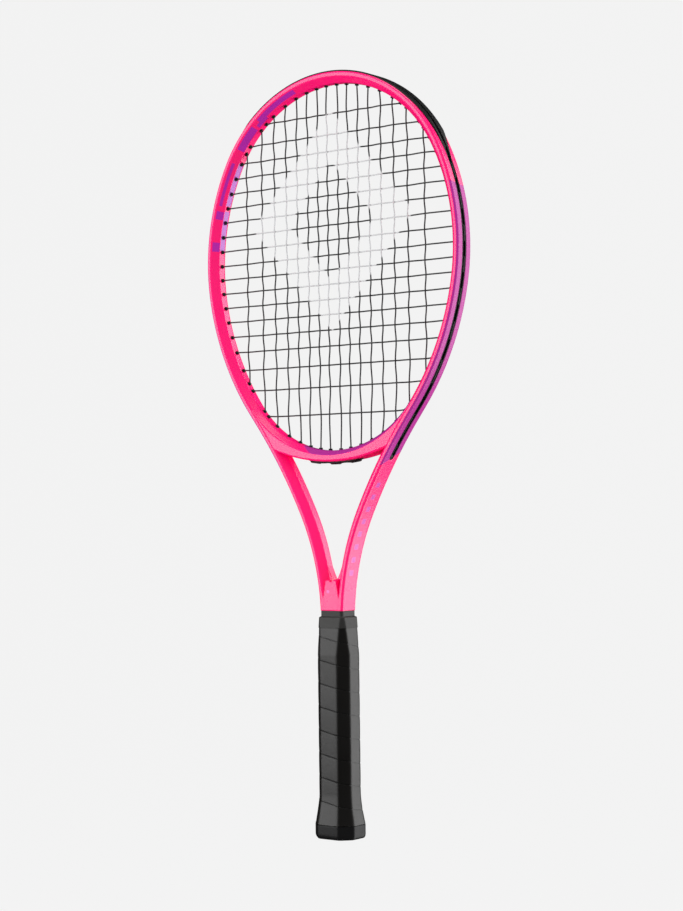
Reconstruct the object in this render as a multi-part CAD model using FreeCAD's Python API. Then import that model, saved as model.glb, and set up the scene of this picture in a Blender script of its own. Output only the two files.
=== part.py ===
import FreeCAD, Part
import math
import os

# A strung tennis racket, in millimetres. The handle stands on the origin, +Z runs up the racket's
# axis to the top of the hoop, the string bed lies in the XZ plane and -Y is the front.

Vec = FreeCAD.Vector
UP = Vec(0, 0, 1)
DEPTH = Vec(0, 1, 0)

# Overall sizes
OVERALL_LENGTH = 685.0
GUARD_PROUD = 1.0
GUARD_MARGIN = 0.2
GUARD_LIP = 0.5
GUARD_CHAMFER = 0.9
FRAME_TOP = OVERALL_LENGTH - GUARD_PROUD

# The outer wall from the top of the hoop down one side: radius (or run) and turn in degrees.
# A positive turn bends inwards round the head, a negative one bends back into the shaft.
CROWN = (133.2, 62.5)
SHOULDER = (197.5, 37.5)
FLANK = (245.0, 26.7)
STRAIGHT_RUN = 15.5
ARM = (498.0, 11.0)
ARM_CHANNEL_TURN = 4.4
NECK = (219.0, 23.45)
GUARD_TURN = 5.5
GUARD_TAPER_HEADING = 42.0
GUARD_BACK_DELAY = 38.0

# Tube section: p runs inwards from the outer wall, q is the half depth
TUBE_WIDTH = 9.5
TUBE_HALF_DEPTH = 10.4
OUTER_FLAT = 9.2
OUTER_BEVEL = 1.2
INNER_BEVEL = 5.1
INNER_FLAT = 3.8
TUBE_WALL = 1.4
EDGE_ROUND = 0.7
CREASE_ROUND = 1.2

# Channel in the outer wall for the grommet strips
CHANNEL_HALF = 3.0
CHANNEL_DEPTH = 2.8
STRIP_HALF = 2.85
STRIP_BASE = 0.7
STRIP_GROOVE_HALF = 1.85
STRIP_GAP = 0.05

# Throat bridge: corner and bottom arcs of its upper wall, its flatter underside, and its section
BRIDGE_LOW = 346.8
BRIDGE_CORNER_TURN = 21.2
BRIDGE_THICK = 10.1
BRIDGE_UNDER_RADIUS = 180.0
BRIDGE_UNDER_REACH = 75.0
BRIDGE_HALF_DEPTH = 10.2
BRIDGE_SHOULDER = 4.4
BRIDGE_STRIP_HALF = 31.0
BRIDGE_STRIP_THICK = 1.7
BRIDGE_STRIP_WIDE = 3.4
STRIP_EDGE = 0.5
STRIP_SUNK = 0.1

# Shaft and handle
CROTCH_Z = 229.0
CROTCH_RADIUS = 2.8
CROTCH_TOP = 243.0
CROTCH_TOP_HALF = 8.0
GROOVE_END = 216.0
FILL_HALF = 9.0
LEG_HALF_X = 11.3
LEG_HALF_Y = 9.6
LEG_BEVEL = 1.4
LEG_BOTTOM = 7.0
LEG_WALL = 1.5
WRAP_THICK = 1.4
PALLET_HALF_X = 16.3
PALLET_HALF_Y = 13.7
PALLET_BEVEL = 7.28
PALLET_TOP_X = 12.6
PALLET_TOP_Y = 10.4
PALLET_TOP_BEVEL = 2.2
PALLET_BOTTOM = 7.0
TAPER_START = 164.0
PALLET_TOP = 196.0
FIT_GAP = 0.05
REACH = 150.0
WRAP_BOTTOM = 12.8
WRAP_FLARE_TOP = 40.0

# Butt cap and its door
CAP_RIM_HEIGHT = 12.5
CAP_RIM_X = 21.8
CAP_RIM_Y = 18.9
CAP_RIM_BEVEL = 10.1
CAP_SKIRT_TOP = 34.0
CAP_SKIRT_WALL = 0.35
CAP_FLOOR = 4.0
CAP_ROUND = 4.5
DOOR_HALF_X = 10.0
DOOR_HALF_Y = 7.5
DOOR_THICK = 2.4
DOOR_RECESS = 0.4
DOOR_GAP = 0.3
DOOR_LEDGE = 2.0
DOOR_CORNER = 1.5
DOOR_LEG_TOP = 12.0
DOOR_LEG_HALF = 3.0
DOOR_LEG_THICK = 1.4
DOOR_LEG_INSET = 2.2
DOOR_NOTCH = 3.0

# Staples: two through the cap's skirt, and the tack under the start of the grip
STAPLE_THICK = 0.7
STAPLE_WIDE = 1.0
STAPLE_SUNK = 0.17
CAP_STAPLE_HALF = 5.0
CAP_STAPLE_LEG = 4.6
CAP_STAPLE_Z = 24.0
TACK_HALF = 3.0
TACK_LEG = 3.2
TACK_SUNK = 0.29
TACK_Z = 22.0

# Collar over the top of the grip
COLLAR_TOP = 203.5
COLLAR_STEP = 198.0
COLLAR_BOTTOM = 188.0
COLLAR_WALL = 0.9
COLLAR_SKIRT = (16.0, 13.6, 4.8)
COLLAR_SHOULDER = (14.3, 12.1, 2.6)
COLLAR_NECK_ROUND = 0.4
TAPE_THICK = 0.3
TAPE_WIDE = 5.0

# Strings: half of the pattern of mains, then the crosses from the top down
STRING_R = 0.65
WEAVE = 0.68
MAIN_X = [5.9, 16.9, 28.3, 40.6, 53.2, 67.1, 81.8, 99.7]
CROSS_Z = [648.5, 630.0, 615.0, 602.0, 588.5, 575.5, 562.5, 549.0, 535.5, 522.0,
           509.0, 496.0, 482.5, 469.0, 455.0, 440.5, 423.5, 404.0, 379.5]
LOOP_SIDE = 0.78
LOOP_DEPTH = 0.75
LOOP_CORNER = 1.8
BARREL_R = 1.55
BARREL_BORE = 0.95
HOLE_R = 1.6
BARREL_PROUD = 1.5
KNOT_R = 1.0
KNOT_RUN = 8.0


def heading_vectors(heading):
    """Travel direction and inward normal on the outer wall, for a heading in degrees."""
    h = math.radians(heading)
    return Vec(math.cos(h), 0, -math.sin(h)), Vec(-math.sin(h), 0, -math.cos(h))


def outline():
    """The right half of the outer wall, as a list of arcs and runs from the top downwards."""
    plan = [("crown",) + CROWN, ("guard_end", SHOULDER[0], GUARD_TURN),
            ("shoulder", SHOULDER[0], SHOULDER[1] - GUARD_TURN), ("flank",) + FLANK,
            ("run", STRAIGHT_RUN, 0.0), ("arm_channel", ARM[0], -ARM_CHANNEL_TURN),
            ("arm", ARM[0], ARM_CHANNEL_TURN - ARM[1]), ("neck", NECK[0], -NECK[1])]
    pieces = []
    point, heading = Vec(0, 0, FRAME_TOP), 0.0
    for name, size, turn in plan:
        travel, normal = heading_vectors(heading)
        piece = {"name": name, "start": point, "heading": heading, "turn": turn, "size": size}
        if turn == 0.0:
            point = point + travel * size
        else:
            piece["centre"] = point + normal * math.copysign(size, turn)
            heading += turn
            point = piece["centre"] - heading_vectors(heading)[1] * math.copysign(size, turn)
        piece["end"] = point
        pieces.append(piece)
    return pieces


OUTLINE = outline()
CHANNEL_PIECES = ["crown", "guard_end", "shoulder", "flank", "run", "arm_channel"]
HEAD_PIECES = ["crown", "guard_end", "shoulder", "flank"]


def piece_named(name):
    return next(piece for piece in OUTLINE if piece["name"] == name)


def bridge_arcs():
    """The two arcs of the right half of the bridge's upper wall, tangent to the hoop's inner wall.

    Their radii follow from the turn of the corner arc and the height of the bridge's low point.
    """
    run = piece_named("run")
    heading = run["heading"]
    middle = heading + BRIDGE_CORNER_TURN
    start = run["start"] + heading_vectors(heading)[1] * TUBE_WIDTH
    first, second = math.radians(heading), math.radians(middle)
    a, b = math.sin(second) - math.sin(first), -math.sin(second)
    c, d = math.cos(second) - math.cos(first), -1 - math.cos(second)
    across, down = -start.x, BRIDGE_LOW - start.z
    corner_radius = (across * d - b * down) / (a * d - b * c)
    bottom_radius = (a * down - across * c) / (a * d - b * c)
    corner_centre = start + heading_vectors(heading)[1] * corner_radius
    joint = corner_centre - heading_vectors(middle)[1] * corner_radius
    corner = {"name": "corner", "start": start, "heading": heading, "turn": BRIDGE_CORNER_TURN,
              "size": corner_radius, "centre": corner_centre}
    bottom = {"name": "bottom", "start": joint, "heading": middle, "turn": 180.0 - middle,
              "size": bottom_radius, "centre": Vec(0, 0, BRIDGE_LOW + bottom_radius)}
    return [corner, bottom]


BRIDGE = bridge_arcs()
UNDER_CENTRE = Vec(0, 0, BRIDGE_LOW - BRIDGE_THICK + BRIDGE_UNDER_RADIUS)


def under_arc(half_width):
    """The right half of the bridge's underside, from half_width to the middle."""
    heading = 180 - math.degrees(math.asin(half_width / BRIDGE_UNDER_RADIUS))
    start = UNDER_CENTRE - heading_vectors(heading)[1] * BRIDGE_UNDER_RADIUS
    return {"name": "under", "start": start, "heading": heading, "turn": 180 - heading,
            "size": BRIDGE_UNDER_RADIUS, "centre": UNDER_CENTRE}


def rounded_loop(corners):
    """A closed wire through (x, y, radius) corners, each rounded by its radius."""
    edges = []
    points = [Vec(x, y, 0) for x, y, r in corners]
    count = len(points)
    trims = []
    for i, (x, y, radius) in enumerate(corners):
        here, before, after = points[i], points[i - 1], points[(i + 1) % count]
        u, w = (before - here).normalize(), (after - here).normalize()
        half = math.acos(max(-1.0, min(1.0, u.dot(w)))) / 2
        if radius == 0:
            trims.append((here, here, None))
            continue
        cut = radius / math.tan(half)
        centre = here + (u + w).normalize() * (radius / math.sin(half))
        trims.append((here + u * cut, here + w * cut, centre + (here - centre).normalize() * radius))
    for i in range(count):
        first, last, middle = trims[i]
        if middle is not None:
            edges.append(Part.Arc(first, middle, last).toShape())
        nxt = trims[(i + 1) % count][0]
        if (nxt - last).Length > 1e-6:
            edges.append(Part.LineSegment(last, nxt).toShape())
    return Part.Wire(edges)


def mirrored(corners):
    """Corners with q >= 0, given from the outer wall inwards, and their mirror image."""
    return corners + [(p, -q, r) for p, q, r in reversed(corners)]


def tube_section(channel):
    corners = [(0, OUTER_FLAT, EDGE_ROUND), (OUTER_BEVEL, TUBE_HALF_DEPTH, EDGE_ROUND),
               (TUBE_WIDTH - INNER_BEVEL, TUBE_HALF_DEPTH, EDGE_ROUND),
               (TUBE_WIDTH, INNER_FLAT, CREASE_ROUND)]
    if channel:
        corners = [(CHANNEL_DEPTH, CHANNEL_HALF, 0), (0, CHANNEL_HALF, 0)] + corners
    return mirrored(corners)


def cavity_section(channel):
    """The hollow inside the tube's wall, folded round the channel where there is one."""
    wall = TUBE_WALL
    ceiling = TUBE_HALF_DEPTH - wall
    corners = [(wall, OUTER_FLAT - 0.8 * wall, 0), (OUTER_BEVEL + wall, ceiling, 0),
               (TUBE_WIDTH - INNER_BEVEL - 0.4 * wall, ceiling, 0),
               (TUBE_WIDTH - wall, INNER_FLAT - 0.6 * wall, 0)]
    if channel:
        shoulder = CHANNEL_HALF + wall
        corners = [(CHANNEL_DEPTH + wall, shoulder, 0), (wall, shoulder, 0)] + corners
    return mirrored(corners)


def placed_face(corners, origin, normal):
    """The section as a face: p along normal from origin, q along Y."""
    wire = rounded_loop(corners)
    travel = normal.cross(DEPTH)
    matrix = FreeCAD.Matrix(normal.x, 0, travel.x, origin.x,
                            normal.y, 1, travel.y, origin.y,
                            normal.z, 0, travel.z, origin.z,
                            0, 0, 0, 1)
    return Part.Face(wire.transformed(matrix))


def swept(piece, corners, outwards=False):
    """The section carried along one piece of the outline (or of the bridge's upper wall)."""
    travel, normal = heading_vectors(piece["heading"])
    face = placed_face(corners, piece["start"], normal * -1 if outwards else normal)
    if piece["turn"] == 0.0:
        return face.extrude(travel * piece["size"])
    axis = DEPTH if piece["turn"] > 0 else DEPTH * -1
    return face.revolve(piece["centre"], axis, abs(piece["turn"]))


def both_sides(shapes):
    return shapes + [shape.mirror(Vec(0, 0, 0), Vec(1, 0, 0)) for shape in shapes]


def joined(shapes):
    return shapes[0].multiFuse(shapes[1:]).removeSplitter()


def octagon(half_x, half_y, bevel, z):
    points = [(half_x, half_y - bevel), (half_x - bevel, half_y)]
    points += [(-x, y) for x, y in reversed(points)]
    points += [(-x, -y) for x, y in points]
    return Part.makePolygon([Vec(x, y, z) for x, y in points + points[:1]])


def octagon_stack(levels):
    """A solid through octagons given as (z, half x, half y, bevel), joined by flat faces."""
    return Part.makeLoft([octagon(x, y, bevel, z) for z, x, y, bevel in levels], True, True)


def box(low, high):
    size = Vec(*high) - Vec(*low)
    return Part.makeBox(size.x, size.y, size.z, Vec(*low))


def rod(start, end, radius):
    return Part.makeCylinder(radius, (end - start).Length, start, end - start)


# ---- string holes ----

def head_point(x=None, z=None, top=True):
    """The point on the head's inner edge at a given x or z, with its heading."""
    candidates = [(piece, TUBE_WIDTH) for piece in OUTLINE if piece["name"] in HEAD_PIECES]
    candidates += [(piece, 0.0) for piece in BRIDGE]
    for piece, depth in candidates:
        low, high = piece["heading"], piece["heading"] + piece["turn"]
        radius, centre = piece["size"] - depth, piece["centre"]
        if x is not None:
            ratio = (x - centre.x) / radius
            if abs(ratio) > 1:
                continue
            heading = math.degrees(math.asin(ratio))
            heading = heading if top else 180.0 - heading
        else:
            ratio = (z - centre.z) / radius
            if abs(ratio) > 1:
                continue
            heading = math.degrees(math.acos(ratio))
        if low - 1e-6 <= heading <= high + 1e-6:
            return centre - heading_vectors(heading)[1] * radius, heading
    raise ValueError("no wall there")


def exit_point(start, direction, depth):
    """Where a ray from the inner wall reaches the given depth below the outer wall."""
    best = None
    for piece in OUTLINE:
        if piece["name"] not in CHANNEL_PIECES:
            continue
        if piece["turn"] == 0.0:
            travel, normal = heading_vectors(piece["heading"])
            base = piece["start"] + normal * depth
            reach = (base - start).dot(normal) / direction.dot(normal)
            hit = start + direction * reach
            inside = 0 <= (hit - base).dot(travel) <= piece["size"]
            reaches = [reach] if inside else []
        else:
            sign = math.copysign(1.0, piece["turn"])
            radius = piece["size"] - sign * depth
            offset = start - piece["centre"]
            half = offset.dot(direction)
            root = half * half - offset.dot(offset) + radius * radius
            reaches = []
            for sense in (-1, 1):
                if root < 0:
                    continue
                reach = -half + sense * math.sqrt(root)
                spoke = (start + direction * reach - piece["centre"]) * sign
                heading = math.degrees(math.atan2(spoke.x, spoke.z)) % 360
                low, high = sorted((piece["heading"], piece["heading"] + piece["turn"]))
                if low - 1e-6 <= heading <= high + 1e-6:
                    reaches.append(reach)
        for reach in reaches:
            if reach > 1.0 and (best is None or reach < best):
                best = reach
    return start + direction * best


def make_hole(inner, heading, string_direction, kind, aim=None):
    """One string hole: where the string enters the wall and where it leaves in the channel."""
    outward = heading_vectors(heading)[1] * -1
    direction = (outward + string_direction).normalize()
    if aim is not None:
        direction = (aim - inner).normalize()
    side = Vec(0, -LOOP_SIDE if kind == "main" else LOOP_SIDE, 0)
    outer = exit_point(inner, direction, LOOP_DEPTH)
    return {"inner": inner, "outer": outer + side}


def flip(hole):
    turned = dict(hole)
    for key in ("inner", "outer"):
        turned[key] = Vec(-hole[key].x, hole[key].y, hole[key].z)
    return turned


# The two mains beside the bridge's strip leave through long barrels into the arm's channel
LONG_BARRELS = {3: Vec(63.5, 0, 342.0), 4: Vec(68.5, 0, 350.0)}


def bridge_hole(x):
    """The hole of one of the mains that turn under the bridge's strip."""
    inner = head_point(x=x, top=False)[0]
    reach = BRIDGE_UNDER_RADIUS + BRIDGE_STRIP_THICK + 0.3
    drop = UNDER_CENTRE.z - math.sqrt(reach * reach - x * x)
    return {"inner": inner, "outer": Vec(x, 0, drop)}


def all_holes():
    holes = {}
    for i, x in enumerate(MAIN_X):
        inner, heading = head_point(x=x, top=True)
        holes["top", i] = make_hole(inner, heading, UP, "main")
        if i < 3:
            holes["low", i] = bridge_hole(x)
            continue
        inner, heading = head_point(x=x, top=False)
        holes["low", i] = make_hole(inner, heading, UP * -1, "main", LONG_BARRELS.get(i))
    for j, z in enumerate(CROSS_Z):
        inner, heading = head_point(z=z)
        holes["cross", j] = make_hole(inner, heading, Vec(1, 0, 0), "cross")
    return holes


HOLES = all_holes()


def hole_line(hole):
    """The barrel's ends: proud of the inner wall, and level with the strip's base."""
    direction = (hole["outer"] - hole["inner"]).normalize()
    return hole["inner"] - direction * BARREL_PROUD, direction


def drilled(radius, keys, both=True):
    rods = []
    for key in keys:
        start, direction = hole_line(HOLES[key])
        rods.append(rod(start - direction * 3, HOLES[key]["outer"] + direction * 6, radius))
    return both_sides(rods) if both else rods


def barrels(keys):
    """Barrels from inside the head to the base of the strip."""
    tubes = []
    for key in keys:
        start, direction = hole_line(HOLES[key])
        end = HOLES[key]["outer"] - direction * (STRING_R + 0.6)
        tubes.append(rod(start, end, BARREL_R))
    return tubes


def bores(keys):
    """The clear holes through the barrels."""
    return drilled(BARREL_BORE, keys)


# ---- frame ----

def shaft_fill():
    """The web between the arms: flush at the shaft, sloping back into the crotch of the throat."""
    side = [(-TUBE_HALF_DEPTH, COLLAR_TOP), (-TUBE_HALF_DEPTH, GROOVE_END),
            (-INNER_FLAT, CROTCH_Z + CROTCH_RADIUS), (-INNER_FLAT, CROTCH_TOP)]
    side += [(-y, z) for y, z in reversed(side)]
    web_outline = [Vec(-FILL_HALF, y, z) for y, z in side + side[:1]]
    web = Part.Face(Part.makePolygon(web_outline)).extrude(Vec(2 * FILL_HALF, 0, 0))
    low = CROTCH_Z + CROTCH_RADIUS
    crotch = Part.makeCylinder(CROTCH_RADIUS, 2 * TUBE_HALF_DEPTH,
                               Vec(0, -TUBE_HALF_DEPTH, low), DEPTH)
    notch = [(-CROTCH_RADIUS, low), (-CROTCH_TOP_HALF, CROTCH_TOP), (CROTCH_TOP_HALF, CROTCH_TOP),
             (CROTCH_RADIUS, low)]
    notch_outline = [Vec(x, -TUBE_HALF_DEPTH, z) for x, z in notch + notch[:1]]
    wedge = Part.Face(Part.makePolygon(notch_outline)).extrude(DEPTH * (2 * TUBE_HALF_DEPTH))
    return web.cut([crotch, wedge])


def leg_block(grow=0.0):
    x, y = LEG_HALF_X + grow, LEG_HALF_Y + grow
    bottom, top = LEG_BOTTOM, COLLAR_TOP + 0.4
    return octagon_stack([(bottom, x, y, LEG_BEVEL), (top, x, y, LEG_BEVEL)])


def frame_outer(channel):
    """The frame as a solid bar, with or without the channel in its outer wall."""
    tubes = [swept(piece, tube_section(channel and piece["name"] in CHANNEL_PIECES))
             for piece in OUTLINE]
    above = box((-REACH, -REACH, COLLAR_TOP), (REACH, REACH, OVERALL_LENGTH))
    return joined([joined(both_sides(tubes) + [shaft_fill()]).common(above), leg_block()])


def channel_end(radius):
    """A round stub at the lower end of the channel."""
    piece = piece_named("arm_channel")
    normal = heading_vectors(piece["heading"] + piece["turn"])[1]
    return Part.makeCylinder(radius, CHANNEL_DEPTH, piece["end"], normal)


def frame():
    cavities = [swept(piece, cavity_section(piece["name"] in CHANNEL_PIECES)) for piece in OUTLINE]
    cavities.append(box((1.0, LEG_WALL - LEG_HALF_Y, LEG_BOTTOM - 1),
                        (LEG_HALF_X - LEG_WALL, LEG_HALF_Y - LEG_WALL, COLLAR_TOP + 0.2)))
    ends = [channel_end(CHANNEL_HALF)]
    shape = frame_outer(True).cut(both_sides(cavities)).cut(both_sides(ends))
    return shape.cut(drilled(HOLE_R, list(HOLES)))


def bridge_body(inset):
    """The bridge between its upper wall and its underside, shrunk by a wall thickness."""
    half, wall = BRIDGE_HALF_DEPTH, inset
    rounds = (EDGE_ROUND, CREASE_ROUND) if inset == 0 else (0, 0)
    tall, headroom = BRIDGE_UNDER_REACH / 2, 60.0
    under = mirrored([(wall, half - OUTER_BEVEL - 0.6 * wall, rounds[0]),
                      (OUTER_BEVEL + 0.4 * wall, half - wall, rounds[0]), (tall, half - wall, 0)])
    above = mirrored([(-headroom, 2 * half, 0), (BRIDGE_SHOULDER, 2 * half, 0)])
    bevelled = mirrored([(wall, INNER_FLAT - 0.6 * wall, rounds[1]),
                         (BRIDGE_SHOULDER + 0.4 * wall, half - wall, rounds[0] / 2),
                         (BRIDGE_SHOULDER + 1, half - wall, 0)])
    core = joined(both_sides([swept(under_arc(BRIDGE_UNDER_REACH), under)]))
    core = core.cut(both_sides([swept(arc, above, True) for arc in BRIDGE]))
    return joined([core] + both_sides([swept(arc, bevelled, True) for arc in BRIDGE]))


def throat_bridge():
    """The piece that closes the head below, cut to sit against the hoop's two sides."""
    between_arms = bridge_body(0.0).cut(frame_outer(False))
    shape = max(between_arms.Solids, key=lambda solid: solid.Volume).cut(bridge_body(TUBE_WALL))
    shape = max(shape.Solids, key=lambda solid: solid.Volume)
    keys = [("low", i) for i in range(len(MAIN_X))] + [("cross", len(CROSS_Z) - 1)]
    return shape.cut(drilled(HOLE_R, keys))


# ---- bumper guard and grommet strips ----

def groove_section(top):
    return [(top, STRIP_GROOVE_HALF, 0), (CHANNEL_DEPTH - STRIP_BASE, STRIP_GROOVE_HALF, 0),
            (CHANNEL_DEPTH - STRIP_BASE, -STRIP_GROOVE_HALF, 0), (top, -STRIP_GROOVE_HALF, 0)]


def guard_section():
    wide = OUTER_FLAT - GUARD_MARGIN
    floor = CHANNEL_DEPTH - STRIP_GAP
    return mirrored([(floor, STRIP_HALF, 0), (0, STRIP_HALF, 0), (0, wide, 0),
                     (-GUARD_LIP, wide, 0), (-GUARD_PROUD, wide - GUARD_CHAMFER, 0)][::-1])


def guard_taper():
    """Wedges that narrow the guard's flange to the strip's width, later at the back than in front."""
    crown = piece_named("crown")
    start = crown["centre"] - heading_vectors(GUARD_TAPER_HEADING)[1] * crown["size"]
    chord = piece_named("guard_end")["end"] - start
    length = chord.Length
    travel = chord.normalize()
    inward = travel.cross(DEPTH) * -1
    beyond, clear, reach = length + 3, 14, 8
    wedges = []
    for side, first in ((1, GUARD_BACK_DELAY), (-1, 0)):
        plan = [(first, OUTER_FLAT), (length, STRIP_HALF), (beyond, STRIP_HALF), (beyond, clear),
                (first, clear)]
        base = start - inward * reach
        corners = [base + travel * along + DEPTH * (side * q) for along, q in plan + plan[:1]]
        wedges.append(Part.Face(Part.makePolygon(corners)).extrude(inward * (reach + 6)))
    return wedges


GUARD_KEYS = [("top", i) for i in range(8)] + [("cross", j) for j in range(4)]
SIDE_KEYS = [("cross", j) for j in range(4, len(CROSS_Z))] + [("low", i) for i in range(3, 8)]


def bumper_guard():
    end = piece_named("guard_end")
    pieces = [piece_named("crown"), dict(end, turn=end["turn"] - 0.1)]
    body = [swept(piece, guard_section()) for piece in pieces]
    tubes = barrels(GUARD_KEYS)
    groove = [swept(piece, groove_section(-GUARD_PROUD - 1)) for piece in pieces]
    shape = joined(both_sides(body + tubes)).cut(both_sides(groove + guard_taper()))
    return shape.cut(bores(GUARD_KEYS))


def side_strip():
    """The right-hand strip, with its barrels through the frame's side."""
    pieces = [piece for piece in OUTLINE if piece["name"] in CHANNEL_PIECES[2:]]
    floor = CHANNEL_DEPTH - STRIP_GAP
    section = [(STRIP_SUNK, STRIP_HALF, 0), (floor, STRIP_HALF, 0), (floor, -STRIP_HALF, 0),
               (STRIP_SUNK, -STRIP_HALF, 0)]
    body = [swept(piece, section) for piece in pieces]
    stub = channel_end(STRIP_HALF)
    groove = [swept(piece, groove_section(-1)) for piece in pieces]
    shape = joined(body + [stub] + barrels(SIDE_KEYS)).cut(groove)
    return shape.cut(drilled(BARREL_BORE, SIDE_KEYS, False))


def bridge_strip():
    arc = under_arc(BRIDGE_STRIP_HALF)
    low, wide, edge = BRIDGE_STRIP_THICK, BRIDGE_STRIP_WIDE, STRIP_EDGE
    body = mirrored([(0, wide, 0), (low - edge, wide, 0), (low, wide - edge, 0)])
    groove = mirrored([(low - 0.4, STRING_R + 0.1, 0), (low + 1, STRING_R + 0.1, 0)])
    keys = [("low", i) for i in range(3)]
    tubes = []
    for key in keys:
        start, direction = hole_line(HOLES[key])
        tubes.append(rod(start, HOLES[key]["outer"] - direction * 1.2, BARREL_R))
    shape = joined(both_sides([swept(arc, body, True)] + tubes))
    return shape.cut(both_sides([swept(arc, groove, True)])).cut(bores(keys))


# ---- strings ----

def bent_path(stops):
    """A wire through (point, largest radius) stops: straight runs with tangent arcs between."""
    edges = []
    previous = stops[0][0]
    smallest = None
    for before, here, after in zip(stops, stops[1:], stops[2:]):
        corner, limit = here
        u, w = before[0] - corner, after[0] - corner
        shorter = min(u.Length, w.Length)
        u.normalize()
        w.normalize()
        half = math.acos(max(-1.0, min(1.0, u.dot(w)))) / 2
        radius = 0.45 * shorter * math.tan(half)
        if limit is not None:
            radius = min(radius, limit)
        cut = radius / math.tan(half)
        centre = corner + (u + w).normalize() * (radius / math.sin(half))
        first, last = corner + u * cut, corner + w * cut
        middle = centre + (corner - centre).normalize() * radius
        edges.append(Part.LineSegment(previous, first).toShape())
        edges.append(Part.Arc(first, middle, last).toShape())
        previous = last
        smallest = radius if smallest is None else min(smallest, radius)
    edges.append(Part.LineSegment(previous, stops[-1][0]).toShape())
    wire = Part.Wire(edges)
    print("string of", round(wire.Length), "mm, smallest bend radius", round(smallest, 2))
    return wire


def mouth_limit(before, mouth, after):
    """The bend at a barrel's mouth stays within the play in its bore."""
    turn = (mouth - before).getAngle(after - mouth)
    play = BARREL_BORE - STRING_R - 0.02
    return play / max(1 / math.cos(turn / 2) - 1, 1e-3)


def string_run(entry, leave, crossings):
    """One run across the head: barrel, woven crossings, barrel. Crossings are (point, side)."""
    mouths = [hole_line(entry)[0], hole_line(leave)[0]]
    centres = [point for point, side in crossings]
    chain = [mouths[0]] + centres + [mouths[1]]
    woven = []
    for before, (point, side), after in zip(chain, crossings, chain[2:]):
        first, second = (point - before).Length, (after - point).Length
        peak = WEAVE / (1 - 0.225 * min(first, second) * (1 / first + 1 / second))
        woven.append((point + DEPTH * (side * peak), None))
    head = (mouths[0], mouth_limit(entry["outer"], mouths[0], woven[0][0]))
    tail = (mouths[1], mouth_limit(woven[-1][0], mouths[1], leave["outer"]))
    return [(entry["outer"], LOOP_CORNER), head] + woven + [tail, (leave["outer"], LOOP_CORNER)]


def crossing_side(main, cross):
    return 1 if (main + cross) % 2 == 0 else -1


ALL_MAINS = [-x for x in reversed(MAIN_X)] + MAIN_X
EDGE_CLEARANCE = 2.5


def crosses_head(x, z):
    """Whether the main at x and the cross at z meet inside the head."""
    return abs(x) < head_point(z=z)[0].x - EDGE_CLEARANCE


def main_hole(end, index):
    """The hole of one main, counted from the left, at its top or low end."""
    count = len(MAIN_X)
    return flip(HOLES[end, count - 1 - index]) if index < count else HOLES[end, index - count]


def knotted(stops, before_start, after_end):
    """The string's solid, with a short run along the channel to a knot at each end."""
    first = stops[0][0] + (before_start - stops[0][0]).normalize() * KNOT_RUN
    last = stops[-1][0] + (after_end - stops[-1][0]).normalize() * KNOT_RUN
    path = bent_path([(first, None)] + stops + [(last, None)])
    profile = Part.Wire(Part.makeCircle(STRING_R, first, stops[0][0] - first))
    tube = path.makePipe(Part.Face(profile))
    return tube.fuse([Part.makeSphere(KNOT_R, first), Part.makeSphere(KNOT_R, last)])


def beside(hole, side):
    """The place of a hole's exit, moved to one side of the channel."""
    return Vec(hole["outer"].x, side, hole["outer"].z)


def main_string():
    stops = []
    for i, x in enumerate(ALL_MAINS):
        crossings = [(Vec(x, 0, z), crossing_side(i, j)) for j, z in enumerate(CROSS_Z)
                     if crosses_head(x, z)]
        low, top = main_hole("low", i), main_hole("top", i)
        rising = i % 2 == 0
        crossings = crossings[::-1] if rising else crossings
        entry, leave = (low, top) if rising else (top, low)
        stops += string_run(entry, leave, crossings)
    return knotted(stops, beside(flip(HOLES["low", 6]), -LOOP_SIDE),
                   beside(HOLES["low", 6], -LOOP_SIDE))


def cross_string():
    stops = []
    for j, z in enumerate(CROSS_Z):
        crossings = [(Vec(x, 0, z), -crossing_side(i, j)) for i, x in enumerate(ALL_MAINS)
                     if crosses_head(x, z)]
        left, right = flip(HOLES["cross", j]), HOLES["cross", j]
        rightward = j % 2 == 0
        crossings = crossings if rightward else crossings[::-1]
        entry, leave = (left, right) if rightward else (right, left)
        stops += string_run(entry, leave, crossings)
    return knotted(stops, beside(flip(HOLES["top", 5]), LOOP_SIDE),
                   beside(HOLES["low", 5], LOOP_SIDE))


# ---- handle ----

def pallet_stack(grow=0.0, bottom=PALLET_BOTTOM, top=PALLET_TOP):
    """The handle's octagon: straight, then tapering into the shaft."""
    spread = grow * (2 - math.sqrt(2))
    full = (PALLET_HALF_X + grow, PALLET_HALF_Y + grow, PALLET_BEVEL + spread)
    slim = (PALLET_TOP_X + grow, PALLET_TOP_Y + grow, PALLET_TOP_BEVEL + spread)
    return octagon_stack([(bottom,) + full, (TAPER_START,) + full, (top,) + slim])


def pallet(side):
    half = box((-30, 0, 0), (30, 30, 220)) if side > 0 else box((-30, -30, 0), (30, 0, 220))
    half.translate(Vec(0, side * FIT_GAP, 0))
    return pallet_stack().cut(leg_block(FIT_GAP)).common(half)


def skirt_levels(grow):
    spread = grow * (2 - math.sqrt(2))
    wall = FIT_GAP + CAP_SKIRT_WALL
    low = (CAP_RIM_X - WRAP_THICK, CAP_RIM_Y - WRAP_THICK, CAP_RIM_BEVEL - 0.8)
    high = (PALLET_HALF_X + wall, PALLET_HALF_Y + wall, PALLET_BEVEL + 0.2)
    return [(WRAP_BOTTOM, low[0] + grow, low[1] + grow, low[2] + spread),
            (CAP_SKIRT_TOP, high[0] + grow, high[1] + grow, high[2] + spread)]


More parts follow.
